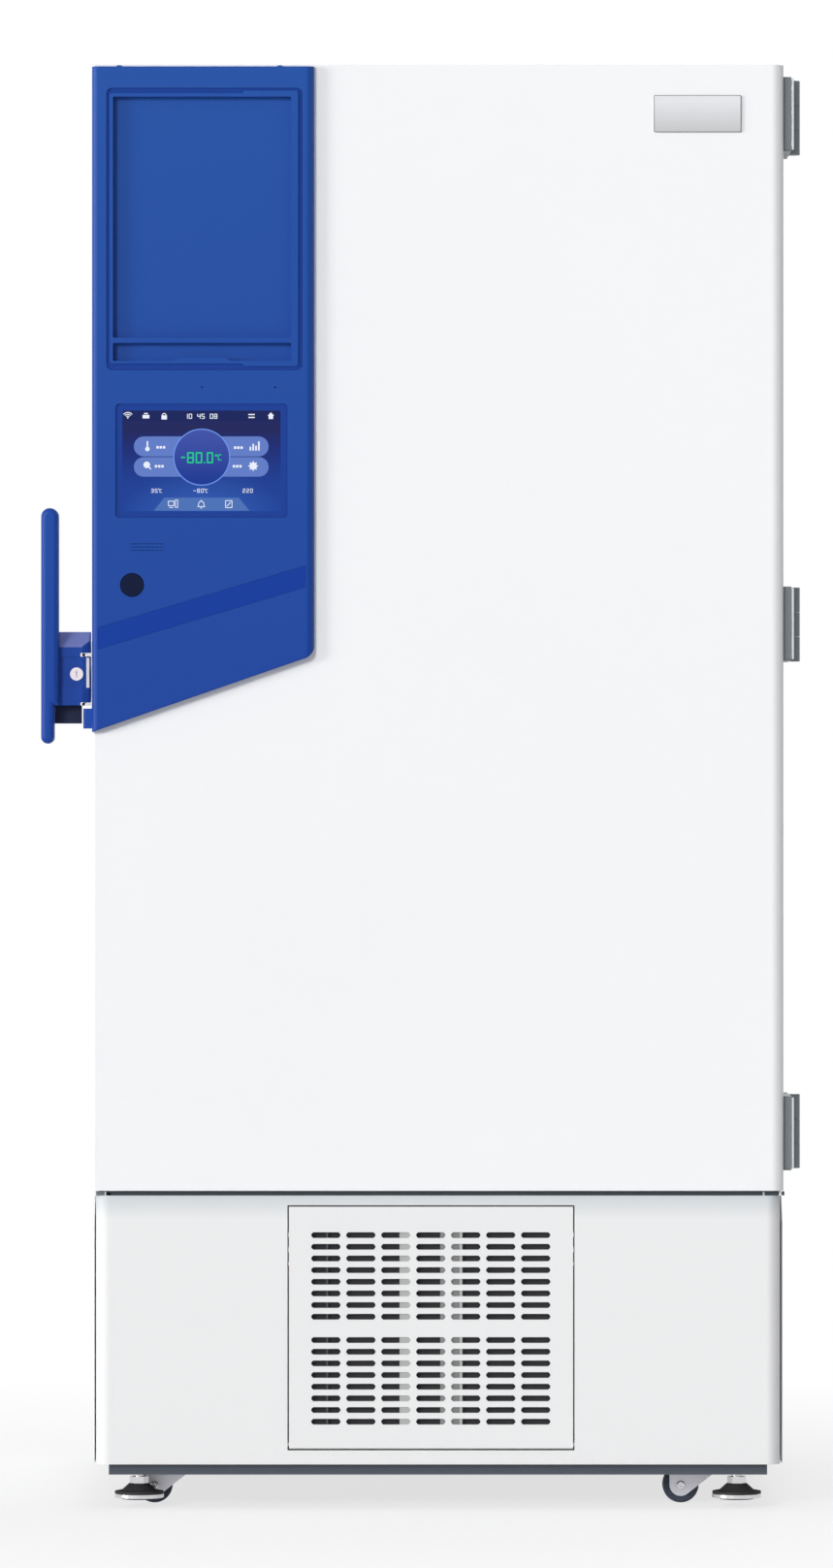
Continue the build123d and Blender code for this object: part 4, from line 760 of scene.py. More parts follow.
# Grey ring round the plate: painted shade of its edges.
BADGE_EDGE_SHADE = PowderCoat("badge_edge_shade", (0.3, 0.3, 0.31), 0.4)
SCREEN = ScreenLight("screen_light", (0.004, 0.006, 0.02), 0.16)
MARK_WHITE = Glow("mark_white", (0.86, 0.9, 1.0), strength=0.9)
MARK_GREEN = Glow("mark_green", (0.02, 0.62, 0.25), strength=0.9)
LOBE = Glow("lobe_pale_blue", (0.12, 0.2, 0.55), strength=0.95)
DISC = GradedGlow("disc_blue", (0.012, 0.04, 0.28), strength=0.95, low_z=1.409, high_z=1.478,
                  high_colour=(0.058, 0.09, 0.38))
DIAL_RING = Glow("dial_ring", (0.16, 0.3, 0.85), strength=0.95)
FOOT_BAR = Glow("foot_bar_blue", (0.075, 0.165, 0.46), strength=0.95)
TOP_BAR = Glow("top_bar_navy", (0.012, 0.02, 0.11), strength=0.9)
# Lavender cap on the lever's sloping top: painted highlight.
CAP_HIGHLIGHT_LAVENDER = MouldedPlastic("cap_painted_highlight", (0.16, 0.2, 0.5), 0.45)
# Dark navy sheet on the lever's web: painted shade.
WEB_SHADE_NAVY = MouldedPlastic("web_painted_shade", (0.004, 0.009, 0.042), 0.5)
# Darker towards the top, under the door: painted shade.
PANEL_SHADED = HousingPlastic("panel_shaded", (0.8, 0.8, 0.802), 0.42, high_colour=(0.58, 0.615, 0.64),
                              low_z=0.397, high_z=0.4294)
# Dark grey: on the sill strip partly its own colour and partly painted shade under the door, on the right
# sill blocks painted shade; also the left rib behind the grille.
GAP_DARK = PowderCoat("gap_dark", (0.07, 0.086, 0.096), 0.6)
# Black sheet in the gap round the grille: painted shade.
GAP_SHADE_BLACK = SoftRubber("gap_painted_shade", (0.012, 0.013, 0.014), 0.7)
# Dark blue discs at the bottom of the holes: painted shade.
HOLE_SHADE_BLUE = MouldedPlastic("hole_shade", (0.006, 0.03, 0.17), 0.6, 0.22, 0.1)
RIB_LIGHT = PowderCoat("rib_light", (0.42, 0.42, 0.42), 0.5)
# Grey of the right rib: painted shade.
RIB_GREY = PowderCoat("rib_grey", (0.22, 0.22, 0.22), 0.5)
LOCK_FACE = PlatedMetal("lock_face", (0.6, 0.56, 0.6), 0.5)
NYLON = MouldedPlastic("nylon_white", (0.85, 0.85, 0.85), 0.4)


# Cutting

WORKING_WELD = 1e-4


def working_object(sheet: Sheet) -> bpy.types.Object:
    """A closed mesh object of a sheet, used only while one is cut from another."""
    mesh = bpy.data.meshes.new("working")
    mesh.from_pydata(sheet.points.tolist(), [], sheet.faces)
    working = bmesh.new()
    working.from_mesh(mesh)
    bmesh.ops.remove_doubles(working, verts=working.verts, dist=WORKING_WELD)
    bmesh.ops.recalc_face_normals(working, faces=working.faces)
    working.to_mesh(mesh)
    working.free()
    thing = bpy.data.objects.new("working", mesh)
    bpy.context.collection.objects.link(thing)
    return thing


def cut_from(first: Sheet, second: Sheet) -> Sheet:
    """Cuts one closed solid out of another.

    Args:
        first: The solid that is kept.
        second: The solid taken from it.

    Returns:
        What is left of the first.
    """
    base, tool = working_object(first), working_object(second)
    step = base.modifiers.new("cut", "BOOLEAN")
    step.operation, step.solver, step.object = "DIFFERENCE", "EXACT", tool
    graph = bpy.context.evaluated_depsgraph_get()
    mesh = bpy.data.meshes.new_from_object(base.evaluated_get(graph))
    points = np.empty(len(mesh.vertices) * 3)
    mesh.vertices.foreach_get("co", points)
    faces = [list(face.vertices) for face in mesh.polygons]
    for thing in (base, tool):
        data = thing.data
        bpy.data.objects.remove(thing)
        bpy.data.meshes.remove(data)
    bpy.data.meshes.remove(mesh)
    return Sheet(points.reshape(-1, 3), faces)


def slab(outline: Array, front: float, back: float, facing: Facing = Facing.FRONT) -> Sheet:
    """A plain solid of one outline between two depths."""
    return moulding(outline, [(0.0, back), (0.0, front)], facing)


def capsule(start: Sequence[float], end: Sequence[float], width: float, steps: int = 4) -> Array:
    """The outline of a thick line with round ends.

    Args:
        start: First end.
        end: Second end.
        width: Width of the line.
        steps: Spans in each round end.

    Returns:
        Half circles about the two ends: end plus r(cos t, sin t) with t from the line's angle less a
        right angle to the angle plus a right angle, then the same about the start, half a turn on.
    """
    first, second = np.array(start, float), np.array(end, float)
    angle = math.atan2(second[1] - first[1], second[0] - first[0])
    t = angle + np.linspace(-math.pi / 2, math.pi / 2, steps + 1)
    ring = width / 2 * np.stack([np.cos(t), np.sin(t)], axis=-1)
    return np.concatenate([second + ring, first - ring])


def arc_band(x: float, z: float, radius: float, start: float, end: float, width: float,
             steps: int) -> Array:
    """The outline of a part of a ring.

    Args:
        x: First coordinate of the centre.
        z: Second coordinate of the centre.
        radius: Middle radius.
        start: First angle in degrees.
        end: Last angle in degrees.
        width: Width of the ring.
        steps: Spans along it.

    Returns:
        Centre plus (r + w/2)(cos t, sin t) forwards, then with r - w/2 backwards.
    """
    t = np.radians(np.linspace(start, end, steps + 1))
    ring = np.stack([np.cos(t), np.sin(t)], axis=-1)
    outline = np.concatenate([(radius + width / 2) * ring, (radius - width / 2) * ring[::-1]])
    return outline + np.array([x, z])


@dataclass(frozen=True)
class PhotoScale:
    """Turns a pixel of the photograph into a place on the door's face, in millimetres."""

    mm_per_pixel: float = 1.3275
    middle_pixel: float = 434.8
    floor_pixel: float = 1557.5

    def x(self, pixel: float) -> float:
        """X of a column of the photograph."""
        return (pixel - self.middle_pixel) * self.mm_per_pixel

    def z(self, pixel: float) -> float:
        """Z of a row of the photograph."""
        return (self.floor_pixel - pixel) * self.mm_per_pixel

    def spot(self, column: float, row: float) -> tuple[float, float]:
        """X and Z of a pixel."""
        return self.x(column), self.z(row)

    def frame(self, left: float, right: float, top: float, bottom: float, radius: float = 0.1) -> Array:
        """A rounded rectangle given by its four edges in pixels; the radius is in millimetres."""
        return rounded_rectangle(self.x(left), self.x(right), self.z(bottom), self.z(top), radius)


PHOTO = PhotoScale()
WORKSHOP = Workshop()


# Blue housing on the door

@dataclass
class Fascia:
    """The moulded housing: cover, screws and speaker holes, with painted shade in the tray groove and at the
    bottom of the holes.
    """

    body: str = "door"
    face: float = -499.7
    left_bevel: float = 7.8
    right_bevel: float = 11.0
    low_round: float = 12.0
    end_round: float = 1.6
    slope: float = 0.346
    bevel_points: int = 9
    end_points: int = 5
    clear: float = 0.3
    overrun: float = 20.0
    opening_radii: tuple[tuple[str, float], ...] = (("document_tray", 8.0), ("display_bezel", 5.0))
    groove_face: float = -498.8
    inlay_slope: float = 0.2992
    ring_depths: tuple[float, float] = (1.9, 2.1)
    ring_radius: float = 7.7
    rim_side: float = 4.6
    rim_top: float = 6.4
    rim_foot: float = 8.0
    rim_round: float = 3.2
    rim_step: float = 3.5
    step_place: float = 0.7
    step_half: float = 2.0
    step_round: float = 1.0
    hole_radius: float = 0.85
    hole_depth: float = 2.6
    hole_sides: int = 12
    hole_columns: int = 13
    hole_rows: tuple[float, float, float] = (560.8, 564.2, 567.5)
    hole_first: float = 136.0
    hole_last: float = 168.0
    pin_radius: float = 1.3
    pin_places: tuple[tuple[float, float], ...] = ((208.3, 399.3), (283.8, 399.3))
    hole_shade_thick: float = 0.5
    screw_columns: tuple[float, float] = (123.0, 288.7)
    screw_y: float = -493.0
    screw_radius: float = 5.0
    screw_rise: float = 2.2
    screw_sink: float = 0.2
    screw_sides: int = 24
    screw_rings: int = 5

    def section(self, x0: float, x1: float, back: float) -> Array:
        """The housing's section seen from above.

        Args:
            x0: Left side.
            x1: Right side.
            back: Depth of its back.

        Returns:
            Pairs (x, y): a quarter circle at the left, x0 + b(1 - cos t) and face + b(1 - sin t), the
            same mirrored at the right with its own b, and the two back corners.
        """
        t = np.linspace(0, math.pi / 2, self.bevel_points)
        across, deep = 1 - np.cos(t), 1 - np.sin(t)
        left = np.stack([x0 + self.left_bevel * across, self.face + self.left_bevel * deep], axis=-1)
        right = np.stack([x1 - self.right_bevel * across, self.face + self.right_bevel * deep], axis=-1)
        return np.concatenate([left, right[::-1], [(x1, back), (x0, back)]])

    def cover(self) -> Sheet:
        """The closed housing before its openings are cut.

        Returns:
            Rows of the section, from the slanting foot to the top. At both ends the rows follow a
            quarter circle: height r(1 - sin t) from the end, and depth r(1 - cos t) towards the back. The
            foot's height is its slope times x, plus R - sqrt(R^2 - s^2) within R of the right side.
        """
        low, high = node_box("control_fascia")
        ring = self.section(low[0], high[0], high[1])
        x, y = ring[:, 0], ring[:, 1]
        t = np.linspace(0, math.pi / 2, self.end_points)[:, None]
        lift, sink = self.end_round * (1 - np.sin(t)), self.end_round * (1 - np.cos(t))
        from_side = np.clip(x - (high[0] - self.low_round), 0, self.low_round)
        rise = self.low_round - np.sqrt(self.low_round ** 2 - from_side ** 2)
        foot = low[2] + self.slope * (x - low[0]) + rise
        share = (high[1] - y) / (high[1] - self.face)
        wide = np.broadcast_to(x, (len(t), len(x)))
        lower = np.stack([wide, y + sink[::-1] * share, foot + lift[::-1]], axis=-1)
        upper = np.stack([wide, y + sink * share, np.broadcast_to(high[2] - lift, wide.shape)], axis=-1)
        return capped([*lower, *upper])

    def holes(self) -> list[tuple[float, float, float]]:
        """X, Z and radius of the speaker holes and pinholes."""
        columns = np.linspace(self.hole_first, self.hole_last, self.hole_columns)
        speaker = [(*PHOTO.spot(column, row), self.hole_radius)
                   for row in self.hole_rows for column in columns]
        return speaker + [(*PHOTO.spot(*place), self.pin_radius) for place in self.pin_places]

    def openings(self) -> Sheet:
        """Everything that is cut out of the cover, as one sheet of separate solids."""
        front, through = self.face - self.overrun, self.face + self.overrun
        cuts = []
        for node, radius in self.opening_radii:
            low, high = node_box(node)
            outline = rounded_rectangle(low[0] - self.clear, high[0] + self.clear, low[2] - self.clear,
                                        high[2] + self.clear, radius)
            cuts.append(slab(outline, front, through))
        low, high = node_box("card_reader_window")
        middle, radius = (low + high) / 2, (high[0] - low[0]) / 2
        cuts.append(slab(circle(middle[0], middle[2], radius + self.clear), front, high[1]))
        low, high = node_box("status_strip")
        rise = (high[0] - low[0]) * self.inlay_slope
        band = np.array([(low[0], low[2]), (high[0], low[2] + rise),
                         (high[0], high[2]), (low[0], high[2] - rise)])
        cuts.append(slab(drawn_in(band, -self.clear), front, self.groove_face))
        return joined(cuts + self.hole_plugs(front, self.face + self.hole_depth))

    def hole_plugs(self, front: float, back: float) -> list[Sheet]:
        """Round plugs at all the small holes, between two depths."""
        return [slab(circle(x, z, radius, self.hole_sides), front, back) for x, z, radius in self.holes()]

    def groove(self) -> Sheet:
        """A dark ring laid in the tray's groove as painted shade: its outer outline less the stepped outline
        of the rim.
        """
        low, high = node_box("document_tray")
        front, back = (self.face + depth for depth in self.ring_depths)
        outer = slab(rounded_rectangle(low[0], high[0], low[2], high[2], self.ring_radius), front, back)
        x0, x1 = low[0] + self.rim_side, high[0] - self.rim_side
        z0, z1 = low[2] + self.rim_foot, high[2] - self.rim_top
        step = low[0] + (high[0] - low[0]) * self.step_place
        before, after = step - self.step_half, step + self.step_half
        corners = [(x0, z0), (before, z0), (after, z0 - self.rim_step), (x1, z0 - self.rim_step),
                   (x1, z1 + self.rim_step), (after, z1 + self.rim_step), (before, z1), (x0, z1)]
        radii = [self.rim_round, self.step_round, self.step_round, self.rim_round] * 2
        inner = slab(rounded_polygon(corners, radii), front - self.overrun, back + self.overrun)
        return cut_from(outer, inner)

    def hole_shade(self) -> Sheet:
        """Dark discs at the bottom of the speaker holes and pinholes: painted shade."""
        deep = self.face + self.hole_depth
        return joined(self.hole_plugs(deep - self.hole_shade_thick, deep))

    def screws(self) -> Sheet:
        """Two screw domes on the top edge: r sin t out and h cos t up, over a circle."""
        seat = node_box("control_fascia")[1][2] - self.screw_sink
        t = np.linspace(0, math.pi / 2, self.screw_rings + 1)[:-1]
        dome = [(self.screw_radius * (1 - math.cos(a)), seat + self.screw_rise * math.sin(a)) for a in t]
        rounds = [circle(PHOTO.x(column), self.screw_y, self.screw_radius, self.screw_sides)
                  for column in self.screw_columns]
        return joined([moulding(outline, dome, Facing.PLAN) for outline in rounds])

    def build(self) -> None:
        """Makes and dresses the housing's pieces."""
        cover = cut_from(self.cover(), self.openings())
        WORKSHOP.piece("fascia_cover", cover, self.body, BLUE, "blue_plastic", ("control_fascia",))
        WORKSHOP.piece("tray_groove_shade", self.groove(), self.body, BLUE_DEEP, "blue_dark")
        WORKSHOP.piece("hole_shade", self.hole_shade(), self.body, HOLE_SHADE_BLUE, "black_plastic")
        WORKSHOP.piece("fascia_screws", self.screws(), self.body, BLUE, "blue_plastic")


# Touch screen

# Strokes of a figure between the corners of a unit square, and the strokes of each symbol
SEGMENTS = {"a": ((0, 1), (1, 1)), "b": ((1, 1), (1, 0.5)), "c": ((1, 0.5), (1, 0)), "d": ((0, 0), (1, 0)),
            "e": ((0, 0), (0, 0.5)), "f": ((0, 0.5), (0, 1)), "g": ((0, 0.5), (1, 0.5))}
FIGURES = {"0": "abcdef", "1": "bc", "2": "abged", "3": "abgcd", "4": "fgbc", "5": "afgcd", "6": "afgedc",
           "7": "abc", "8": "abcdefg", "9": "abcdfg", "-": "g", "C": "afed"}

# Marks on the screen, all in pixels of the photograph.
# Bars: column and row of the middle, width, height.
BARS = ((131.8, 430.9, 1.4, 1.4), (150.5, 429.6, 7.0, 3.6), (150.5, 426.4, 4.0, 1.2),
        (169.3, 430.4, 5.6, 4.2), (259.4, 430.4, 6.6, 1.2), (259.4, 427.4, 6.6, 1.2))
# Arcs: column, row, radius, first and last angle in degrees, width.
ARCS = ((131.8, 431.0, 2.0, 40, 140, 0.9), (131.8, 431.0, 3.9, 40, 140, 0.9),
        (131.8, 431.0, 5.8, 40, 140, 0.9), (169.3, 428.2, 1.9, 0, 180, 0.9),
        (152.0, 463.0, 1.9, 0, 360, 0.8), (151.3, 479.3, 2.9, 0, 360, 1.0),
        (261.1, 480.5, 3.0, 0, 360, 1.5), (207.5, 519.6, 2.7, 0, 180, 0.75))
# Lines: first end, second end, width.
LINES = (((152.0, 461.0), (152.0, 455.4), 1.5), ((153.4, 481.5), (155.4, 483.6), 1.2),
         ((174.8, 523.2), (178.2, 523.2), 0.75), ((204.8, 519.6), (204.4, 522.2), 0.75),
         ((210.2, 519.6), (210.6, 522.2), 0.75), ((203.8, 522.4), (211.2, 522.4), 0.75),
         ((206.7, 523.8), (208.3, 523.8), 0.7), ((207.5, 515.7), (207.5, 516.8), 0.7),
         ((234.2, 521.8), (237.8, 517.8), 0.8))
# Boxes: left, right, top, bottom, width of their lines.
BOXES = ((173.6, 179.4, 516.8, 521.4, 0.75), (180.8, 183.2, 515.6, 523.2, 0.7),
         (232.6, 239.2, 516.2, 523.4, 0.75))
# Corners of the house.
HOUSE = ((276.0, 428.6), (279.3, 425.2), (282.6, 428.6), (281.6, 428.6), (281.6, 432.0), (277.0, 432.0),
         (277.0, 428.6))
# Figures of the temperature: symbol, left, right, top, bottom, width of a stroke.
TEMPERATURE = (("8", 192.9, 199.9, 466.2, 477.7, 1.5), ("0", 201.7, 208.6, 466.2, 477.7, 1.5),
               ("0", 213.2, 219.8, 466.2, 477.7, 1.5), ("C", 224.7, 228.5, 468.5, 474.7, 0.9))
# Minus and point of the temperature, as bars, and its degree ring, as an arc.
TEMPERATURE_BARS = ((188.8, 471.6, 4.3, 1.5), (210.9, 477.0, 1.5, 1.5))
DEGREE_RING = (222.9, 469.6, 0.9, 0, 360, 0.6)
# Middles of the captions, each shown as three bars.
CAPTIONS = ((165.8, 461.2), (164.2, 480.8), (245.8, 461.6), (244.6, 480.8))
# Rows of small figures: text, left, row of the middle, width and height of a figure, pitch, stroke.
NUMBERS = (("10 45 08", 190.3, 429.2, 3.4, 5.2, 4.35, 0.75), ("35", 155.8, 506.0, 2.7, 4.2, 3.9, 0.55),
           ("-80", 199.4, 506.0, 2.7, 4.2, 3.9, 0.55), ("220", 250.2, 506.0, 2.7, 4.2, 3.9, 0.55),
           ("C", 164.6, 506.2, 2.3, 3.6, 3.9, 0.5), ("C", 212.0, 506.2, 2.3, 3.6, 3.9, 0.5))
# Degree rings of the small figures, as arcs.
SMALL_RINGS = ((163.7, 504.4, 0.5, 0, 360, 0.35), (211.1, 504.4, 0.5, 0, 360, 0.35))
# Lobes and top bar: left, right, top, bottom, corner radius in millimetres; then the foot's corners.
LOBES = ((138, 277, 450, 470.6, 13.6), (138, 277, 471.4, 491.5, 13.3))
TOP_STRIP = (127.2, 289.6, 423.4, 434.2, 1.5)
FOOT = ((158.5, 526.6), (257.2, 526.6), (246.2, 513.2), (169.5, 513.2))


@dataclass
class Display:
    """What the lit touch screen shows: lobes, dial, icons and figures, in thin layers on the glass."""

    body: str = "door"
    glass: float = -497.7
    layer: float = 0.09
    bar_round: float = 0.5
    dial_place: tuple[float, float] = (208.0, 471.4)
    dial_radius: float = 28.7
    dial_sides: int = 72
    ring_layers: float = 2.6
    ring_edges: tuple[float, float] = (-0.9, 0.5)
    signal_place: tuple[float, float] = (258.2, 464.6)
    signal_pitch: float = 2.9
    signal_width: float = 1.7
    signal_heights: tuple[float, ...] = (4.0, 7.0, 5.0, 9.5)
    gear_place: tuple[float, float] = (261.1, 480.5)
    gear_reach: tuple[float, float] = (3.4, 4.5)
    gear_teeth: int = 8
    gear_width: float = 1.2
    caption_width: float = 10.0
    caption_height: float = 2.6
    caption_gap: float = 0.9

    def mark(self, outline: Array, level: int = 3) -> Sheet:
        """A flat mark that starts on the glass and ends a number of layers above it."""
        return slab(outline, self.glass - level * self.layer, self.glass)

    def bar(self, column: float, row: float, width: float, height: float) -> Sheet:
        """A small bar about a pixel, sized in pixels."""
        across, up = width / 2, height / 2
        return self.mark(PHOTO.frame(column - across, column + across, row - up, row + up, self.bar_round))

    def line(self, start: tuple[float, float], end: tuple[float, float], width: float) -> Sheet:
        """A thick line between two pixels, its width in pixels."""
        return self.mark(capsule(PHOTO.spot(*start), PHOTO.spot(*end), width * PHOTO.mm_per_pixel))

    def arc(self, column: float, row: float, radius: float, start: float, end: float, width: float,
            steps: int = 16) -> Sheet:
        """A part of a ring about a pixel, sized in pixels."""
        scale = PHOTO.mm_per_pixel
        return self.mark(arc_band(*PHOTO.spot(column, row), radius * scale, start, end, width * scale, steps))

    def box(self, left: float, right: float, top: float, bottom: float, width: float) -> list[Sheet]:
        """The four sides of a rectangle in pixels, as thick lines."""
        corners = [(left, top), (right, top), (right, bottom), (left, bottom)]
        return [self.line(start, end, width) for start, end in zip(corners, [*corners[1:], corners[0]])]

    def figure(self, symbol: str, left: float, right: float, top: float, bottom: float,
               width: float) -> list[Sheet]:
        """One figure made of straight strokes.

        Args:
            symbol: The figure.
            left: Left edge in pixels.
            right: Right edge in pixels.
            top: Top edge in pixels.
            bottom: Bottom edge in pixels.
            width: Width of a stroke in pixels.

        Returns:
            A mark for each stroke: its unit ends scaled to the figure's box, less half a stroke.
        """
        half = width / 2
        x0, x1, z0, z1 = left + half, right - half, bottom - half, top + half
        strokes = []
        for name in FIGURES[symbol]:
            (ax, az), (bx, bz) = SEGMENTS[name]
            strokes.append(self.line((x0 + (x1 - x0) * ax, z0 + (z1 - z0) * az),
                                     (x0 + (x1 - x0) * bx, z0 + (z1 - z0) * bz), width))
        return strokes

    def number(self, text: str, left: float, row: float, width: float, height: float, pitch: float,
               stroke: float) -> list[Sheet]:
        """A short row of figures, a space for each blank."""
        marks = []
        for place, symbol in enumerate(text):
            if symbol != " ":
                x = left + place * pitch
                marks += self.figure(symbol, x, x + width, row - height / 2, row + height / 2, stroke)
        return marks

    def gear(self) -> list[Sheet]:
        """The teeth of the gear, on rays from its middle."""
        column, row = self.gear_place
        near, far = self.gear_reach
        teeth = []
        for turn in np.arange(self.gear_teeth) * 2 * math.pi / self.gear_teeth:
            across, up = math.cos(turn), math.sin(turn)
            teeth.append(self.line((column + near * across, row + near * up),
                                   (column + far * across, row + far * up), self.gear_width))
        return teeth

    def icons(self) -> list[Sheet]:
        """The white icons and small marks."""
        marks = [self.bar(*row) for row in BARS] + [self.arc(*row) for row in ARCS]
        marks += [self.line(*row) for row in LINES] + self.gear()
        marks += [side for row in BOXES for side in self.box(*row)]
        marks.append(self.mark(np.array([PHOTO.spot(*corner) for corner in HOUSE])))
        column, foot = self.signal_place
        marks += [self.bar(column + self.signal_pitch * place, foot - height / 2, self.signal_width, height)
                  for place, height in enumerate(self.signal_heights)]
        third = self.caption_width / 3
        marks += [self.bar(column + offset * third, row, third - self.caption_gap, self.caption_height)
                  for column, row in CAPTIONS for offset in (-1, 0, 1)]
        marks += [stroke for row in NUMBERS for stroke in self.number(*row)]
        return marks + [self.arc(*row, steps=6) for row in SMALL_RINGS]

    def figures(self) -> list[Sheet]:
        """The green temperature in the dial: minus, figures, point and degree ring."""
        marks = [*(self.bar(*row) for row in TEMPERATURE_BARS), self.arc(*DEGREE_RING)]
        return marks + [stroke for row in TEMPERATURE for stroke in self.figure(*row)]

    def build(self) -> None:
        """Makes and lights the marks."""
        dial = circle(*PHOTO.spot(*self.dial_place), self.dial_radius * PHOTO.mm_per_pixel, self.dial_sides)
        foot = np.array([PHOTO.spot(*corner) for corner in FOOT])
        crown = self.glass - self.ring_layers * self.layer
        outer, inner = self.ring_edges
        section = [(outer, self.glass), (outer, crown), (inner, crown), (inner, self.glass)]
        for name, sheet, finish in (
                ("screen_lobes", joined([self.mark(PHOTO.frame(*lobe), 1) for lobe in LOBES]), LOBE),
                ("screen_dial", self.mark(dial, 2), DISC),
                ("screen_dial_ring", rim(dial, section, Facing.FRONT), DIAL_RING),
                ("screen_foot", self.mark(foot, 1), FOOT_BAR),
                ("screen_bar", self.mark(PHOTO.frame(*TOP_STRIP), 1), TOP_BAR),
                ("screen_icons", joined(self.icons()), MARK_WHITE),
                ("screen_figures", joined(self.figures()), MARK_GREEN)):
            WORKSHOP.piece(name, sheet, self.body, finish, "screen_glass", smooth=False)


# Handle and hinges

@dataclass
class Handle:
    """What shows on the lever: the bright bush face on its heel, the lavender cap on its slope as a painted
    highlight, and a dark sheet on its web as painted shade.
    """

    body: str = "handle"
    bush_start: float = -460.9
    bush_end: float = -457.0
    bush_thick: float = 0.12
    bush_low: float = 1126.7
    bush_high: float = 1167.8
    heel_left: float = -466.7
    heel_front: float = -455.0
    cap_round: float = 1.0
    cap_thick: float = 0.4
    cap_bevel: tuple[float, float] = (0.3, 0.2)
    cap_corners: tuple[tuple[float, float], ...] = ((-498.0, -454.6), (-467.6, -454.6), (-457.0, -443.6),
                                                    (-457.0, -427.4), (-498.0, -427.4))
    slope_front: tuple[float, float] = (-455.0, 1182.0)
    slope_back: tuple[float, float] = (-427.0, 1203.6)
    web_box: tuple[float, float, float, float] = (-503.9, -468.2, 1078.0, 1101.9)
    web_round: float = 1.5
    web_front: float = -437.9
    web_back: float = -437.3

    def bush(self) -> Sheet:
        """The bright bush face on the slanting heel, as a thin four-sided outline seen from above."""
        run, lift = self.bush_end - self.bush_start, self.bush_thick / math.sqrt(2)
        y0 = self.heel_front + (self.bush_start - self.heel_left)
        outline = np.array([(self.bush_start, y0), (self.bush_end, y0 + run),
                            (self.bush_end + lift, y0 + run - lift), (self.bush_start + lift, y0 - lift)])
        return moulding(outline, [(0, self.bush_low), (0, self.bush_high)], Facing.PLAN)

    def cap(self) -> Sheet:
        """The cap on the slope, a painted highlight: a flat outline seen from above, whose height follows the
        slope.
        """
        outline = rounded_polygon(self.cap_corners, [self.cap_round] * len(self.cap_corners))
        (y0, z0), (y1, z1) = self.slope_front, self.slope_back
        inset, rise = self.cap_bevel
        profile = [(0, 0), (0, self.cap_thick), (inset, self.cap_thick + rise)]
        flat = moulding(outline, profile, Facing.PLAN)

        def raised(points: Array) -> Array:
            """Adds the slope's height, a straight line in y."""
            changed = points.copy()
            changed[:, 2] += z0 + (points[:, 1] - y0) * (z1 - z0) / (y1 - y0)
            return changed

        return flat.changed(raised)

    def web_shade(self) -> Sheet:
        """A dark sheet on the web between the grip's foot and the bracket: painted shade."""
        return slab(rounded_rectangle(*self.web_box, self.web_round), self.web_front, self.web_back)

    def build(self) -> None:
        """Makes and dresses the pieces."""
        WORKSHOP.piece("handle_web_shade", self.web_shade(), self.body, WEB_SHADE_NAVY, "blue_dark")
        WORKSHOP.piece("pivot_bush_face", self.bush(), self.body, NYLON, "steel_bright")
        WORKSHOP.piece("handle_cap_highlight", self.cap(), self.body, CAP_HIGHLIGHT_LAVENDER, "blue_plastic")


@dataclass
class HingeTrim:
    """A bright strip along each door leaf's edge, a painted highlight, and the screws of both leaves."""

    leaf_face: float = 507.5
    leaf_half: float = 51.0
    edge_width: float = 3.4
    edge_depths: tuple[float, float] = (-470.0, -465.0)
    edge_round: float = 1.2
    edge_half: float = 49.0
    edge_bevel: tuple[float, float] = (0.6, 1.0)
    screw_radius: float = 5.2
    screw_rows: float = 30.0
    screw_sides: int = 24
    screw_sink: float = 0.2
    screw_dome: tuple[tuple[float, float], ...] = ((0.3, 0.9), (1.4, 1.6))
    slot_half: tuple[float, float] = (3.0, 0.6)
    slot_round: float = 0.2
    slot_floor: float = 0.7
    slot_top: float = 3.0
    door_screws: tuple[float, float] = (-462.0, -418.0)
    cabinet_screws: tuple[float, float] = (-364.0, -320.0)

    def edges(self) -> Sheet:
        """One strip for each leaf, a painted highlight: a thin moulding with round edges seen from above."""
        outline = rounded_rectangle(self.leaf_face, self.leaf_face + self.edge_width, *self.edge_depths,
                                    self.edge_round)
        inset, drop = self.edge_bevel
        ends, straight = self.edge_half, self.edge_half - drop
        return joined([moulding(outline, [(inset, level - ends), (0, level - straight), (0, level + straight),
                                          (inset, level + ends)], Facing.PLAN) for level in self.levels()])

    def levels(self) -> list[float]:
        """Heights of the three hinges."""
        low, high = node_box("hinge_door_leaves")
        return [low[2] + self.leaf_half, (low[2] + high[2]) / 2, high[2] - self.leaf_half]

    def screw(self, y: float, z: float) -> Sheet:
        """A countersunk head: a low dome with a slot cut across it."""
        dome = [(0, self.leaf_face - self.screw_sink)]
        dome += [(inset, self.leaf_face + rise) for inset, rise in self.screw_dome]
        head = moulding(circle(y, z, self.screw_radius, self.screw_sides), dome, Facing.SIDE)
        wide, high = self.slot_half
        slot = rounded_rectangle(y - wide, y + wide, z - high, z + high, self.slot_round)
        return cut_from(head, slab(slot, self.leaf_face + self.slot_top, self.leaf_face + self.slot_floor,
                                   Facing.SIDE))

    def screws(self, depths: tuple[float, float]) -> Sheet:
        """Screw heads, four to a leaf."""
        return joined([self.screw(y, level + rise) for level in self.levels() for y in depths
                       for rise in (-self.screw_rows, self.screw_rows)])

    def build(self) -> None:
        """Makes and dresses the strips and screws."""
        # Bright plated strips along the leaf edges: painted highlights.
        WORKSHOP.piece("hinge_edge_highlights", self.edges(), "door", PLATED, "steel_bright")
        for body, depths in (("door", self.door_screws), ("cabinet", self.cabinet_screws)):
            WORKSHOP.piece(f"hinge_screws_{body}", self.screws(depths), body, PLATED, "steel_bright")


# Lower front, undercarriage and back

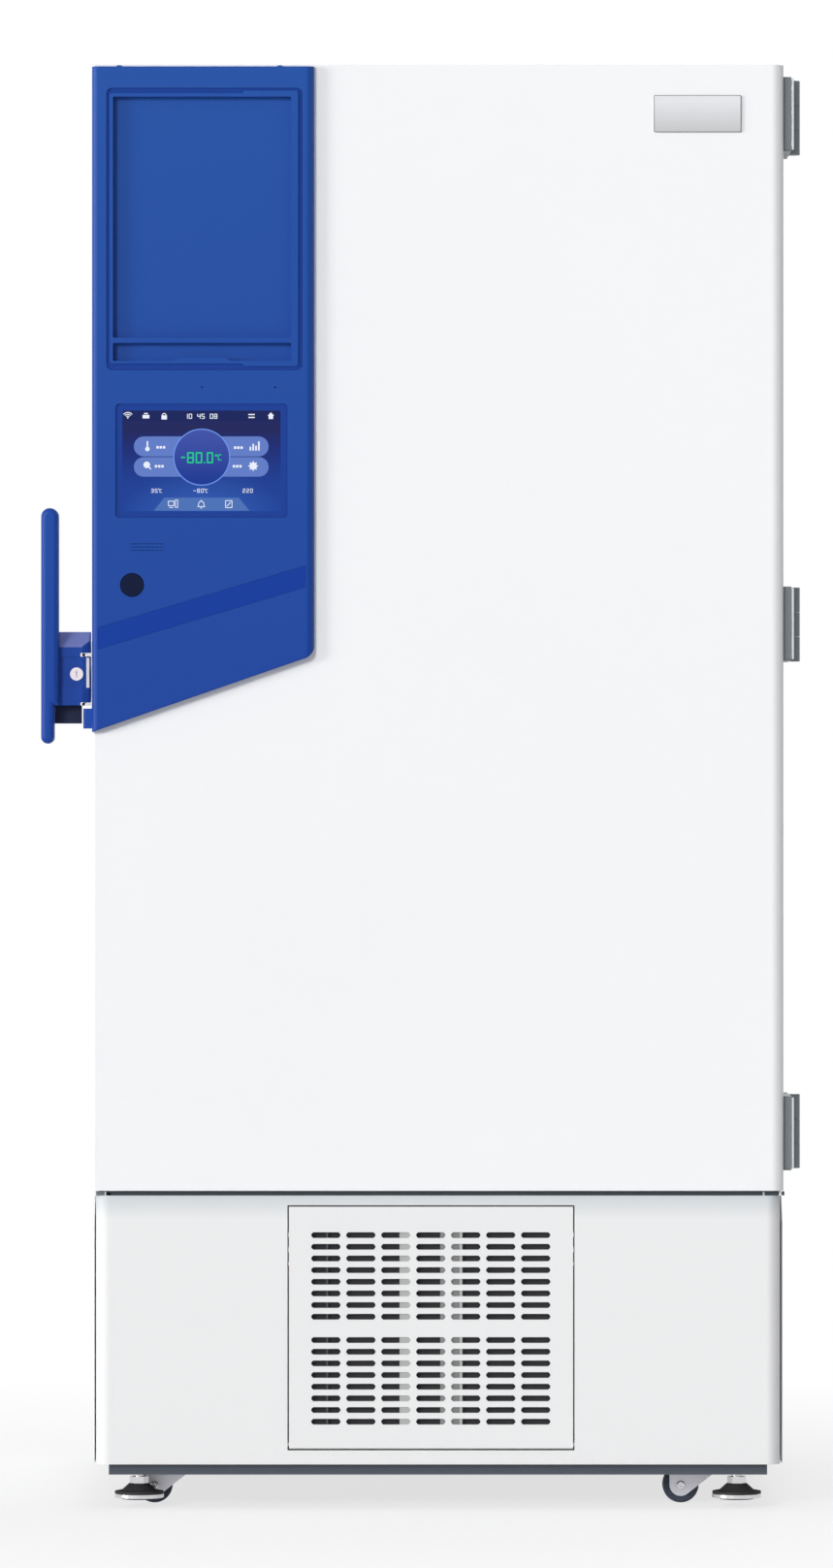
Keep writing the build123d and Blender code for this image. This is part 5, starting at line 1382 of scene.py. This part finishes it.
# Blocks on the sill: first and last pixel, height and front of each; then finish and slot
SILL_BLOCKS: dict[str, tuple[tuple[tuple[float, ...], ...], Finish, str]] = {
    "sill_block_left": (((98, 106.8, 5.6, -468.0), (109, 114, 4.4, -467.0)), BLOCK_GREY, "hinge_grey"),
    # The right blocks are dressed darker than the left ones: painted shade.
    "sill_block_right": (((795, 804, 5.6, -468.0), (807.6, 810, 5.6, -466.0)), GAP_DARK, "steel_dark"),
    "sill_pads": (((107, 108.6, 5.6, -468.5), (804.2, 807.2, 5.0, -468.5), (787.6, 789.4, 5.0, -468.0)),
                  NYLON, "white_plastic"),
}
# Ribs behind the slots: first and last pixel, and finish
# The right rib and its edge are one channel in two greys: the grey is painted shade, the light edge a painted
# highlight.
FILTER_RIBS: dict[str, tuple[float, float, Finish]] = {
    "filter_rib_middle": (412, 424, RIB_LIGHT), "filter_rib_right": (454, 473, RIB_GREY),
    "filter_rib_edge_highlight": (473.6, 477, RIB_LIGHT), "filter_rib_left": (336.2, 338, GAP_DARK),
}


@dataclass
class LowerFront:
    """The dark strip in the gap under the door with its end blocks, painted shade in the gap round the
    grille, and the ribs behind the grille.
    """

    top: float = 429.4
    strip_height: float = 6.4
    strip_bevel: float = 0.4
    strip_inset: tuple[float, float] = (4.0, 3.0)
    strip_depth: float = 60.0
    strip_round: float = 8.0
    block_back: float = -456.0
    block_round: float = 1.0
    block_bevel: float = 0.5
    opening_gap: float = 2.0
    hinge_inset: float = 4.0
    gap_shade_width: float = 1.2
    gap_shade_clear: float = 0.1
    gap_shade_foot: float = 12.0
    gap_shade_round: float = 0.2
    gap_shade_depths: tuple[float, float] = (0.6, 3.0)
    rib_inset: float = 2.0
    rib_round: float = 0.5
    rib_face: float = -467.25
    rib_back: float = -466.9

    def raised(self, outline: Array, height: float, bevel: float) -> Sheet:
        """A solid on the panel's top with a bevelled upper edge."""
        return moulding(outline, [(0, self.top), (0, self.top + height - bevel), (bevel, self.top + height)],
                        Facing.PLAN)

    def strip(self) -> Sheet:
        """The strip that fills the gap between lower panel and door; its dark grey is partly its own colour
        and partly painted shade under the door.
        """
        low, high = node_box("lower_front_panel")
        side, front = self.strip_inset
        outline = rounded_rectangle(low[0] + side, high[0] - side, low[1] + front, low[1] + self.strip_depth,
                                    self.strip_round)
        return self.raised(outline, self.strip_height, self.strip_bevel)

    def block(self, left: float, right: float, height: float, front: float) -> Sheet:
        """A small block on the panel's top, between two pixels."""
        outline = rounded_rectangle(PHOTO.x(left), PHOTO.x(right), front, self.block_back, self.block_round)
        return self.raised(outline, height, self.block_bevel)

    def rib(self, left: float, right: float) -> Sheet:
        """One upright rib behind the slots, between two pixels."""
        low, high = node_box("air_filter")
        outline = rounded_rectangle(PHOTO.x(left), PHOTO.x(right), low[2] + self.rib_inset,
                                    high[2] - self.rib_inset, self.rib_round)
        return slab(outline, self.rib_face, self.rib_back)

    def gap_shade(self) -> Sheet:
        """Painted shade: a dark sheet in the gap round the grille, on three sides, clear of the swinging
        foot.
        """
        low, high = node_box("grille_panel")
        reach, wide = self.opening_gap - self.gap_shade_clear, self.gap_shade_width
        x0, x1 = low[0] + self.hinge_inset - reach, high[0] - self.hinge_inset + reach
        z0, z1 = low[2] + self.gap_shade_foot, high[2] + reach
        sides = [(x0, x0 + wide, z0, z1), (x1 - wide, x1, z0, z1), (x0 + wide, x1 - wide, z1 - wide, z1)]
        front, back = (low[1] + depth for depth in self.gap_shade_depths)
        return joined([slab(rounded_rectangle(*side, self.gap_shade_round), front, back) for side in sides])

    def build(self) -> None:
        """Makes and dresses them."""
        WORKSHOP.piece("grille_gap_shade", self.gap_shade(), "cabinet", GAP_SHADE_BLACK, "black_rubber")
        WORKSHOP.piece("sill_strip", self.strip(), "cabinet", GAP_DARK, "steel_dark")
        for name, (blocks, finish, slot) in SILL_BLOCKS.items():
            WORKSHOP.piece(name, joined([self.block(*block) for block in blocks]), "cabinet", finish, slot)
        for name, (left, right, finish) in FILTER_RIBS.items():
            WORKSHOP.piece(name, self.rib(left, right), "grille_door", finish, "steel_bright")


@dataclass
class Undercarriage:
    """Axle ends on the caster forks and bright bands round the levelling feet."""

    head_radius: float = 5.4
    head_sides: int = 24
    head_profile: tuple[tuple[float, float], ...] = ((0.0, -0.2), (0.2, 1.6), (1.2, 2.6), (3.2, 2.6),
                                                     (3.8, 1.4))
    band_low: float = 2.0
    band_high: float = 8.0
    band_thick: float = 1.0
    band_bevel: float = 0.8
    band_stand: float = 0.4
    band_sides: int = 64

    def axle_end(self, place: str) -> Sheet:
        """A riveted axle end on both cheeks of one fork, as a low dome with a centre dimple."""
        middle = sum(node_box(f"caster_wheel_{place}")) / 2
        fork_low, fork_high = node_box(f"caster_fork_{place}")
        heads = []
        for cheek, out in ((fork_low[1], -1.0), (fork_high[1], 1.0)):
            profile = [(inset, cheek + out * rise) for inset, rise in self.head_profile]
            outline = circle(middle[0], middle[2], self.head_radius, self.head_sides)
            heads.append(moulding(outline, profile, Facing.FRONT))
        return joined(heads)

    def band(self, side: str) -> Sheet:
        """A bright band with rounded edges round one foot's pad."""
        low, high = node_box(f"foot_pad_{side}")
        middle, radius = (low + high) / 2, (high[0] - low[0]) / 2
        outline = circle(middle[0], middle[1], radius + self.band_stand, self.band_sides)
        foot, crown = low[2] + self.band_low, low[2] + self.band_high
        section = [(self.band_thick, foot), (0.0, foot + self.band_bevel), (0.0, crown - self.band_bevel),
                   (self.band_thick, crown)]
        return rim(outline, section, Facing.PLAN)

    def build(self) -> None:
        """Makes and dresses the axle ends of the four casters and the two bands."""
        for side in ("left", "right"):
            WORKSHOP.piece(f"foot_band_{side}", self.band(side), f"foot_{side}", PLATED, "steel_bright")
        for place in ("front_left", "front_right", "rear_left", "rear_right"):
            WORKSHOP.piece(f"axle_end_{place}", self.axle_end(place), f"caster_{place}", PLATED, "fork_grey")


@dataclass
class Back:
    """Screws round the rear panel and the rear grille."""

    margin: float = 14.0
    radius: float = 4.6
    sides: int = 20
    profile: tuple[tuple[float, float], ...] = ((-1.6, 0.0), (-1.6, 0.8), (0.0, 1.0), (0.4, 2.4), (1.8, 3.2))
    rows: tuple[float, ...] = (440.0, 830.0, 1220.0, 1610.0, 1960.0)
    low_rows: tuple[float, ...] = (80.0, 385.0)
    columns: int = 4

    def screw(self, x: float, z: float, face: float) -> Sheet:
        """One pan head: a low dome over a washer."""
        profile = [(inset, face + rise) for inset, rise in self.profile]
        return moulding(circle(x, z, self.radius, self.sides), profile, Facing.FRONT)

    def build(self) -> None:
        """Makes and dresses all the screws."""
        low, high = node_box("rear_panel")
        face = node_box("rear_grille")[1][1]
        sides = (low[0] + self.margin, high[0] - self.margin)
        heads = [self.screw(x, z, face) for z in self.rows + self.low_rows for x in sides]
        between = np.linspace(sides[0], sides[1], self.columns + 2)[1:-1]
        levels = (self.rows[0], self.rows[-1], self.low_rows[-1])
        heads += [self.screw(x, z, face) for z in levels for x in between]
        WORKSHOP.piece("rear_screws", joined(heads), "cabinet", PLATED, "steel_bright")


@dataclass
class Badge:
    """A thin grey ring round the bare plate on the door, painting the shade of its edges."""

    body: str = "door"
    width: float = 0.9
    corner: float = 2.0
    stand: float = 0.25
    bevel: float = 0.3
    back: float = 1.0

    def build(self) -> None:
        """Makes and dresses the edge."""
        low, high = node_box("nameplate")
        outline = rounded_rectangle(low[0], high[0], low[2], high[2], self.corner)
        front, back = low[1] - self.stand, low[1] + self.back
        section = [(0.0, back), (0.0, front + self.bevel), (self.bevel, front), (self.width, front),
                   (self.width, back)]
        WORKSHOP.piece("nameplate_edge_shade", rim(outline, section, Facing.FRONT), self.body, BADGE_EDGE_SHADE, "badge")


# Photograph's framing

def shown_rays(tree: bpy.types.NodeTree) -> Socket:
    """1 for camera, glossy and transmission rays and 0 for others: the largest of the three."""
    rays = tree.nodes.new("ShaderNodeLightPath")
    shown = rays.outputs["Is Camera Ray"]
    for kind in ("Is Glossy Ray", "Is Transmission Ray"):
        larger = tree.nodes.new("ShaderNodeMath")
        larger.operation = "MAXIMUM"
        tree.links.new(shown, larger.inputs[0])
        tree.links.new(rays.outputs[kind], larger.inputs[1])
        shown = larger.outputs[0]
    return shown


@dataclass
class Photograph:
    """Camera, floor, backdrop and lamps. The camera stands level, straight in front, far off."""

    height_pixels: int = 1617
    centre_x: float = -7.0
    centre_z: float = 994.3
    front_y: float = -500.0
    lens: float = 200.0
    sensor: float = 36.0
    view_end: float = 100.0
    floor_reach: float = 30.0
    floor_tones: tuple[float, float] = (0.9, 0.92)
    floor_scale: float = 0.8
    floor_roughness: float = 0.9
    near_share: float = 0.72
    near_reach: tuple[float, float] = (0.7, 2.2)
    world_level: float = 0.36
    world_tint: Colour = (0.97, 0.985, 1.0)
    side_level: float = 1.7
    side_angle: float = 67.0
    side_height: float = 2.0
    front_level: float = 1.56
    front_angle: float = 28.0
    front_height: float = 18.0
    spread: float = 16.0
    back_place: tuple[float, float, float] = (0.5, 4.5, 3.8)
    back_aim: tuple[float, float, float] = (0.0, 0.0, 1.0)
    back_size: float = 3.0
    back_power: float = 90.0

    def camera(self) -> None:
        """Sets the camera so that the photograph's height fills the sensor at the front plane."""
        view_height = PHOTO.mm_per_pixel * self.height_pixels
        away = view_height * self.lens / self.sensor
        data = bpy.data.cameras.new("camera")
        data.lens, data.sensor_width = self.lens, self.sensor
        data.clip_end = self.view_end
        camera = bpy.data.objects.new("camera", data)
        camera.location = (self.centre_x * MM, (self.front_y - away) * MM, self.centre_z * MM)
        camera.rotation_euler = (math.pi / 2, 0, 0)
        bpy.context.collection.objects.link(camera)
        bpy.context.scene.camera = camera

    def backdrop(self) -> None:
        """A floor with a white look to the camera that still takes the freezer's shadow."""
        mesh = bpy.data.meshes.new("floor")
        reach = self.floor_reach
        mesh.from_pydata([(-reach, -reach, 0), (reach, -reach, 0), (reach, reach, 0), (-reach, reach, 0)],
                         [], [(0, 1, 2, 3)])
        nodes = Nodes("floor_white")
        dark, light = ((tone,) * 3 for tone in self.floor_tones)
        nodes.link(nodes.blend(nodes.noise(self.floor_scale), dark, light), nodes.shader.inputs["Base Color"])
        nodes.set(Roughness=self.floor_roughness)
        glow = nodes.add("ShaderNodeEmission")
        glow.inputs["Color"].default_value = (1, 1, 1, 1)
        distance = nodes.add("ShaderNodeVectorMath", operation="LENGTH")
        nodes.link(nodes.place, distance.inputs[0])
        share = nodes.add("ShaderNodeMath", operation="MULTIPLY")
        nodes.link(shown_rays(nodes.tree), share.inputs[0])
        white = nodes.ranged(distance.outputs["Value"], self.near_share, 1.0, *self.near_reach)
        nodes.link(white, share.inputs[1])
        mixed = nodes.add("ShaderNodeMixShader")
        for socket, source in zip(mixed.inputs, (share, nodes.shader, glow)):
            nodes.link(source.outputs[0], socket)
        nodes.link(mixed.outputs[0], nodes.output.inputs["Surface"])
        mesh.materials.append(nodes.material)
        floor = bpy.data.objects.new("floor", mesh)
        bpy.context.collection.objects.link(floor)

    def world(self) -> None:
        """White to the camera and in reflections, soft grey light elsewhere."""
        world = bpy.data.worlds.new("studio")
        bpy.context.scene.world = world
        world.use_nodes = True
        tree = world.node_tree
        tree.nodes.clear()
        output = tree.nodes.new("ShaderNodeOutputWorld")
        mixed = tree.nodes.new("ShaderNodeMixShader")
        tree.links.new(shown_rays(tree), mixed.inputs[0])
        looks = ((self.world_tint, self.world_level), ((1, 1, 1), 1.0))
        for place, (colour, strength) in enumerate(looks, 1):
            part = tree.nodes.new("ShaderNodeBackground")
            part.inputs["Color"].default_value = (*colour, 1)
            part.inputs["Strength"].default_value = strength
            tree.links.new(part.outputs[0], mixed.inputs[place])
        tree.links.new(mixed.outputs[0], output.inputs["Surface"])

    def back_lamp(self) -> None:
        """One square soft lamp behind the freezer, turned towards its aim."""
        data = bpy.data.lights.new("back", "AREA")
        data.shape, data.size, data.energy = "SQUARE", self.back_size, self.back_power
        lamp = bpy.data.objects.new("back", data)
        lamp.location = self.back_place
        direction = np.array(self.back_aim) - np.array(self.back_place)
        tilt = math.atan2(math.hypot(direction[0], direction[1]), -direction[2])
        lamp.rotation_euler = (tilt, 0, math.atan2(direction[1], direction[0]) - math.pi / 2)
        bpy.context.collection.objects.link(lamp)

    def sun(self, name: str, level: float, turn: float, height: float) -> None:
        """Even light from far off.

        Args:
            name: The lamp's name.
            level: Its strength.
            turn: Degrees to the left of straight in front.
            height: Degrees above the horizon.
        """
        data = bpy.data.lights.new(name, "SUN")
        data.energy, data.angle = level, math.radians(self.spread)
        sun = bpy.data.objects.new(name, data)
        sun.rotation_euler = (math.radians(90 - height), 0, -math.radians(turn))
        bpy.context.collection.objects.link(sun)

    def build(self) -> None:
        """Sets camera, world, floor and lamps."""
        bpy.context.scene.view_settings.view_transform = "Standard"
        self.camera()
        self.world()
        self.backdrop()
        self.sun("side", self.side_level, self.side_angle, self.side_height)
        self.sun("front", self.front_level, self.front_angle, self.front_height)
        self.back_lamp()


NODE_FINISHES: dict[str, Finish] = {
    "outer_shell": WHITE, "door_skin": WHITE, "rear_panel": GALVANISED, "rear_grille": GALVANISED,
    "access_port_sleeve": WARM_WHITE, "wall_spacers": BLACK, "insulation": FOAM, "door_insulation": FOAM,
    "inner_liner": STAINLESS, "evaporator_coil": COPPER, "breaker_frame": WARM_WHITE, "inner_seals": SEAL,
    "inner_door_lower": WHITE, "inner_door_upper": WHITE, "shelves": STAINLESS, "shelf_supports": STAINLESS,
    "base_frame": PLINTH, "lower_front_panel": PANEL_SHADED, "grille_panel": PANEL, "air_filter": BLACK,
    "power_inlet": BLACK, "power_switch_rocker": BLACK, "condenser": ALUMINIUM, "fan_shroud": GALVANISED,
    "fan_motor": MACHINE, "fan_blades": ALUMINIUM, "compressors": MACHINE, "compressor_mounts": RUBBER,
    "oil_separator": MACHINE, "refrigerant_pipes": COPPER, "control_box": GALVANISED,
    "door_liner": WARM_WHITE, "door_gasket": SEAL, "control_fascia": BLUE, "document_tray": BLUE,
    "display_bezel": BLUE_DEEP, "display_screen": SCREEN, "status_strip": BAND,
    "card_reader_window": READER, "nameplate": BADGE, "hinge_door_leaves": HINGE_LIGHT,
    "hinge_body_leaves": HINGE_DARK, "handle_lever": BLUE, "lock_plug": LOCK_FACE, "latch_claw": PLATED,
    "strike": PLATED, "handle_bracket": PLATED, "handle_base": BLUE,
}
# Finishes of nodes that come in several places, by the start of their names
FAMILY_FINISHES: dict[str, Finish] = {
    "caster_fork": FORK, "caster_wheel": WHEEL, "foot_screw": PLATED, "foot_pad": RUBBER,
}


def dress_nodes() -> None:
    """Gives every CAD node its finish: its family's where its name starts with one, else its own."""
    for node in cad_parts:
        family = [finish for start, finish in FAMILY_FINISHES.items() if node.startswith(start)]
        dress(node, family[0] if family else NODE_FINISHES[node])


def main() -> None:
    """Builds the scene in order."""
    logging.basicConfig(level=logging.INFO, format="%(message)s")
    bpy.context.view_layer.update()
    Photograph().build()
    dress_nodes()
    for assembly in (Fascia, Display, Handle, HingeTrim, Badge, LowerFront, Undercarriage, Back):
        assembly().build()


if __name__ == "__main__":
    main()
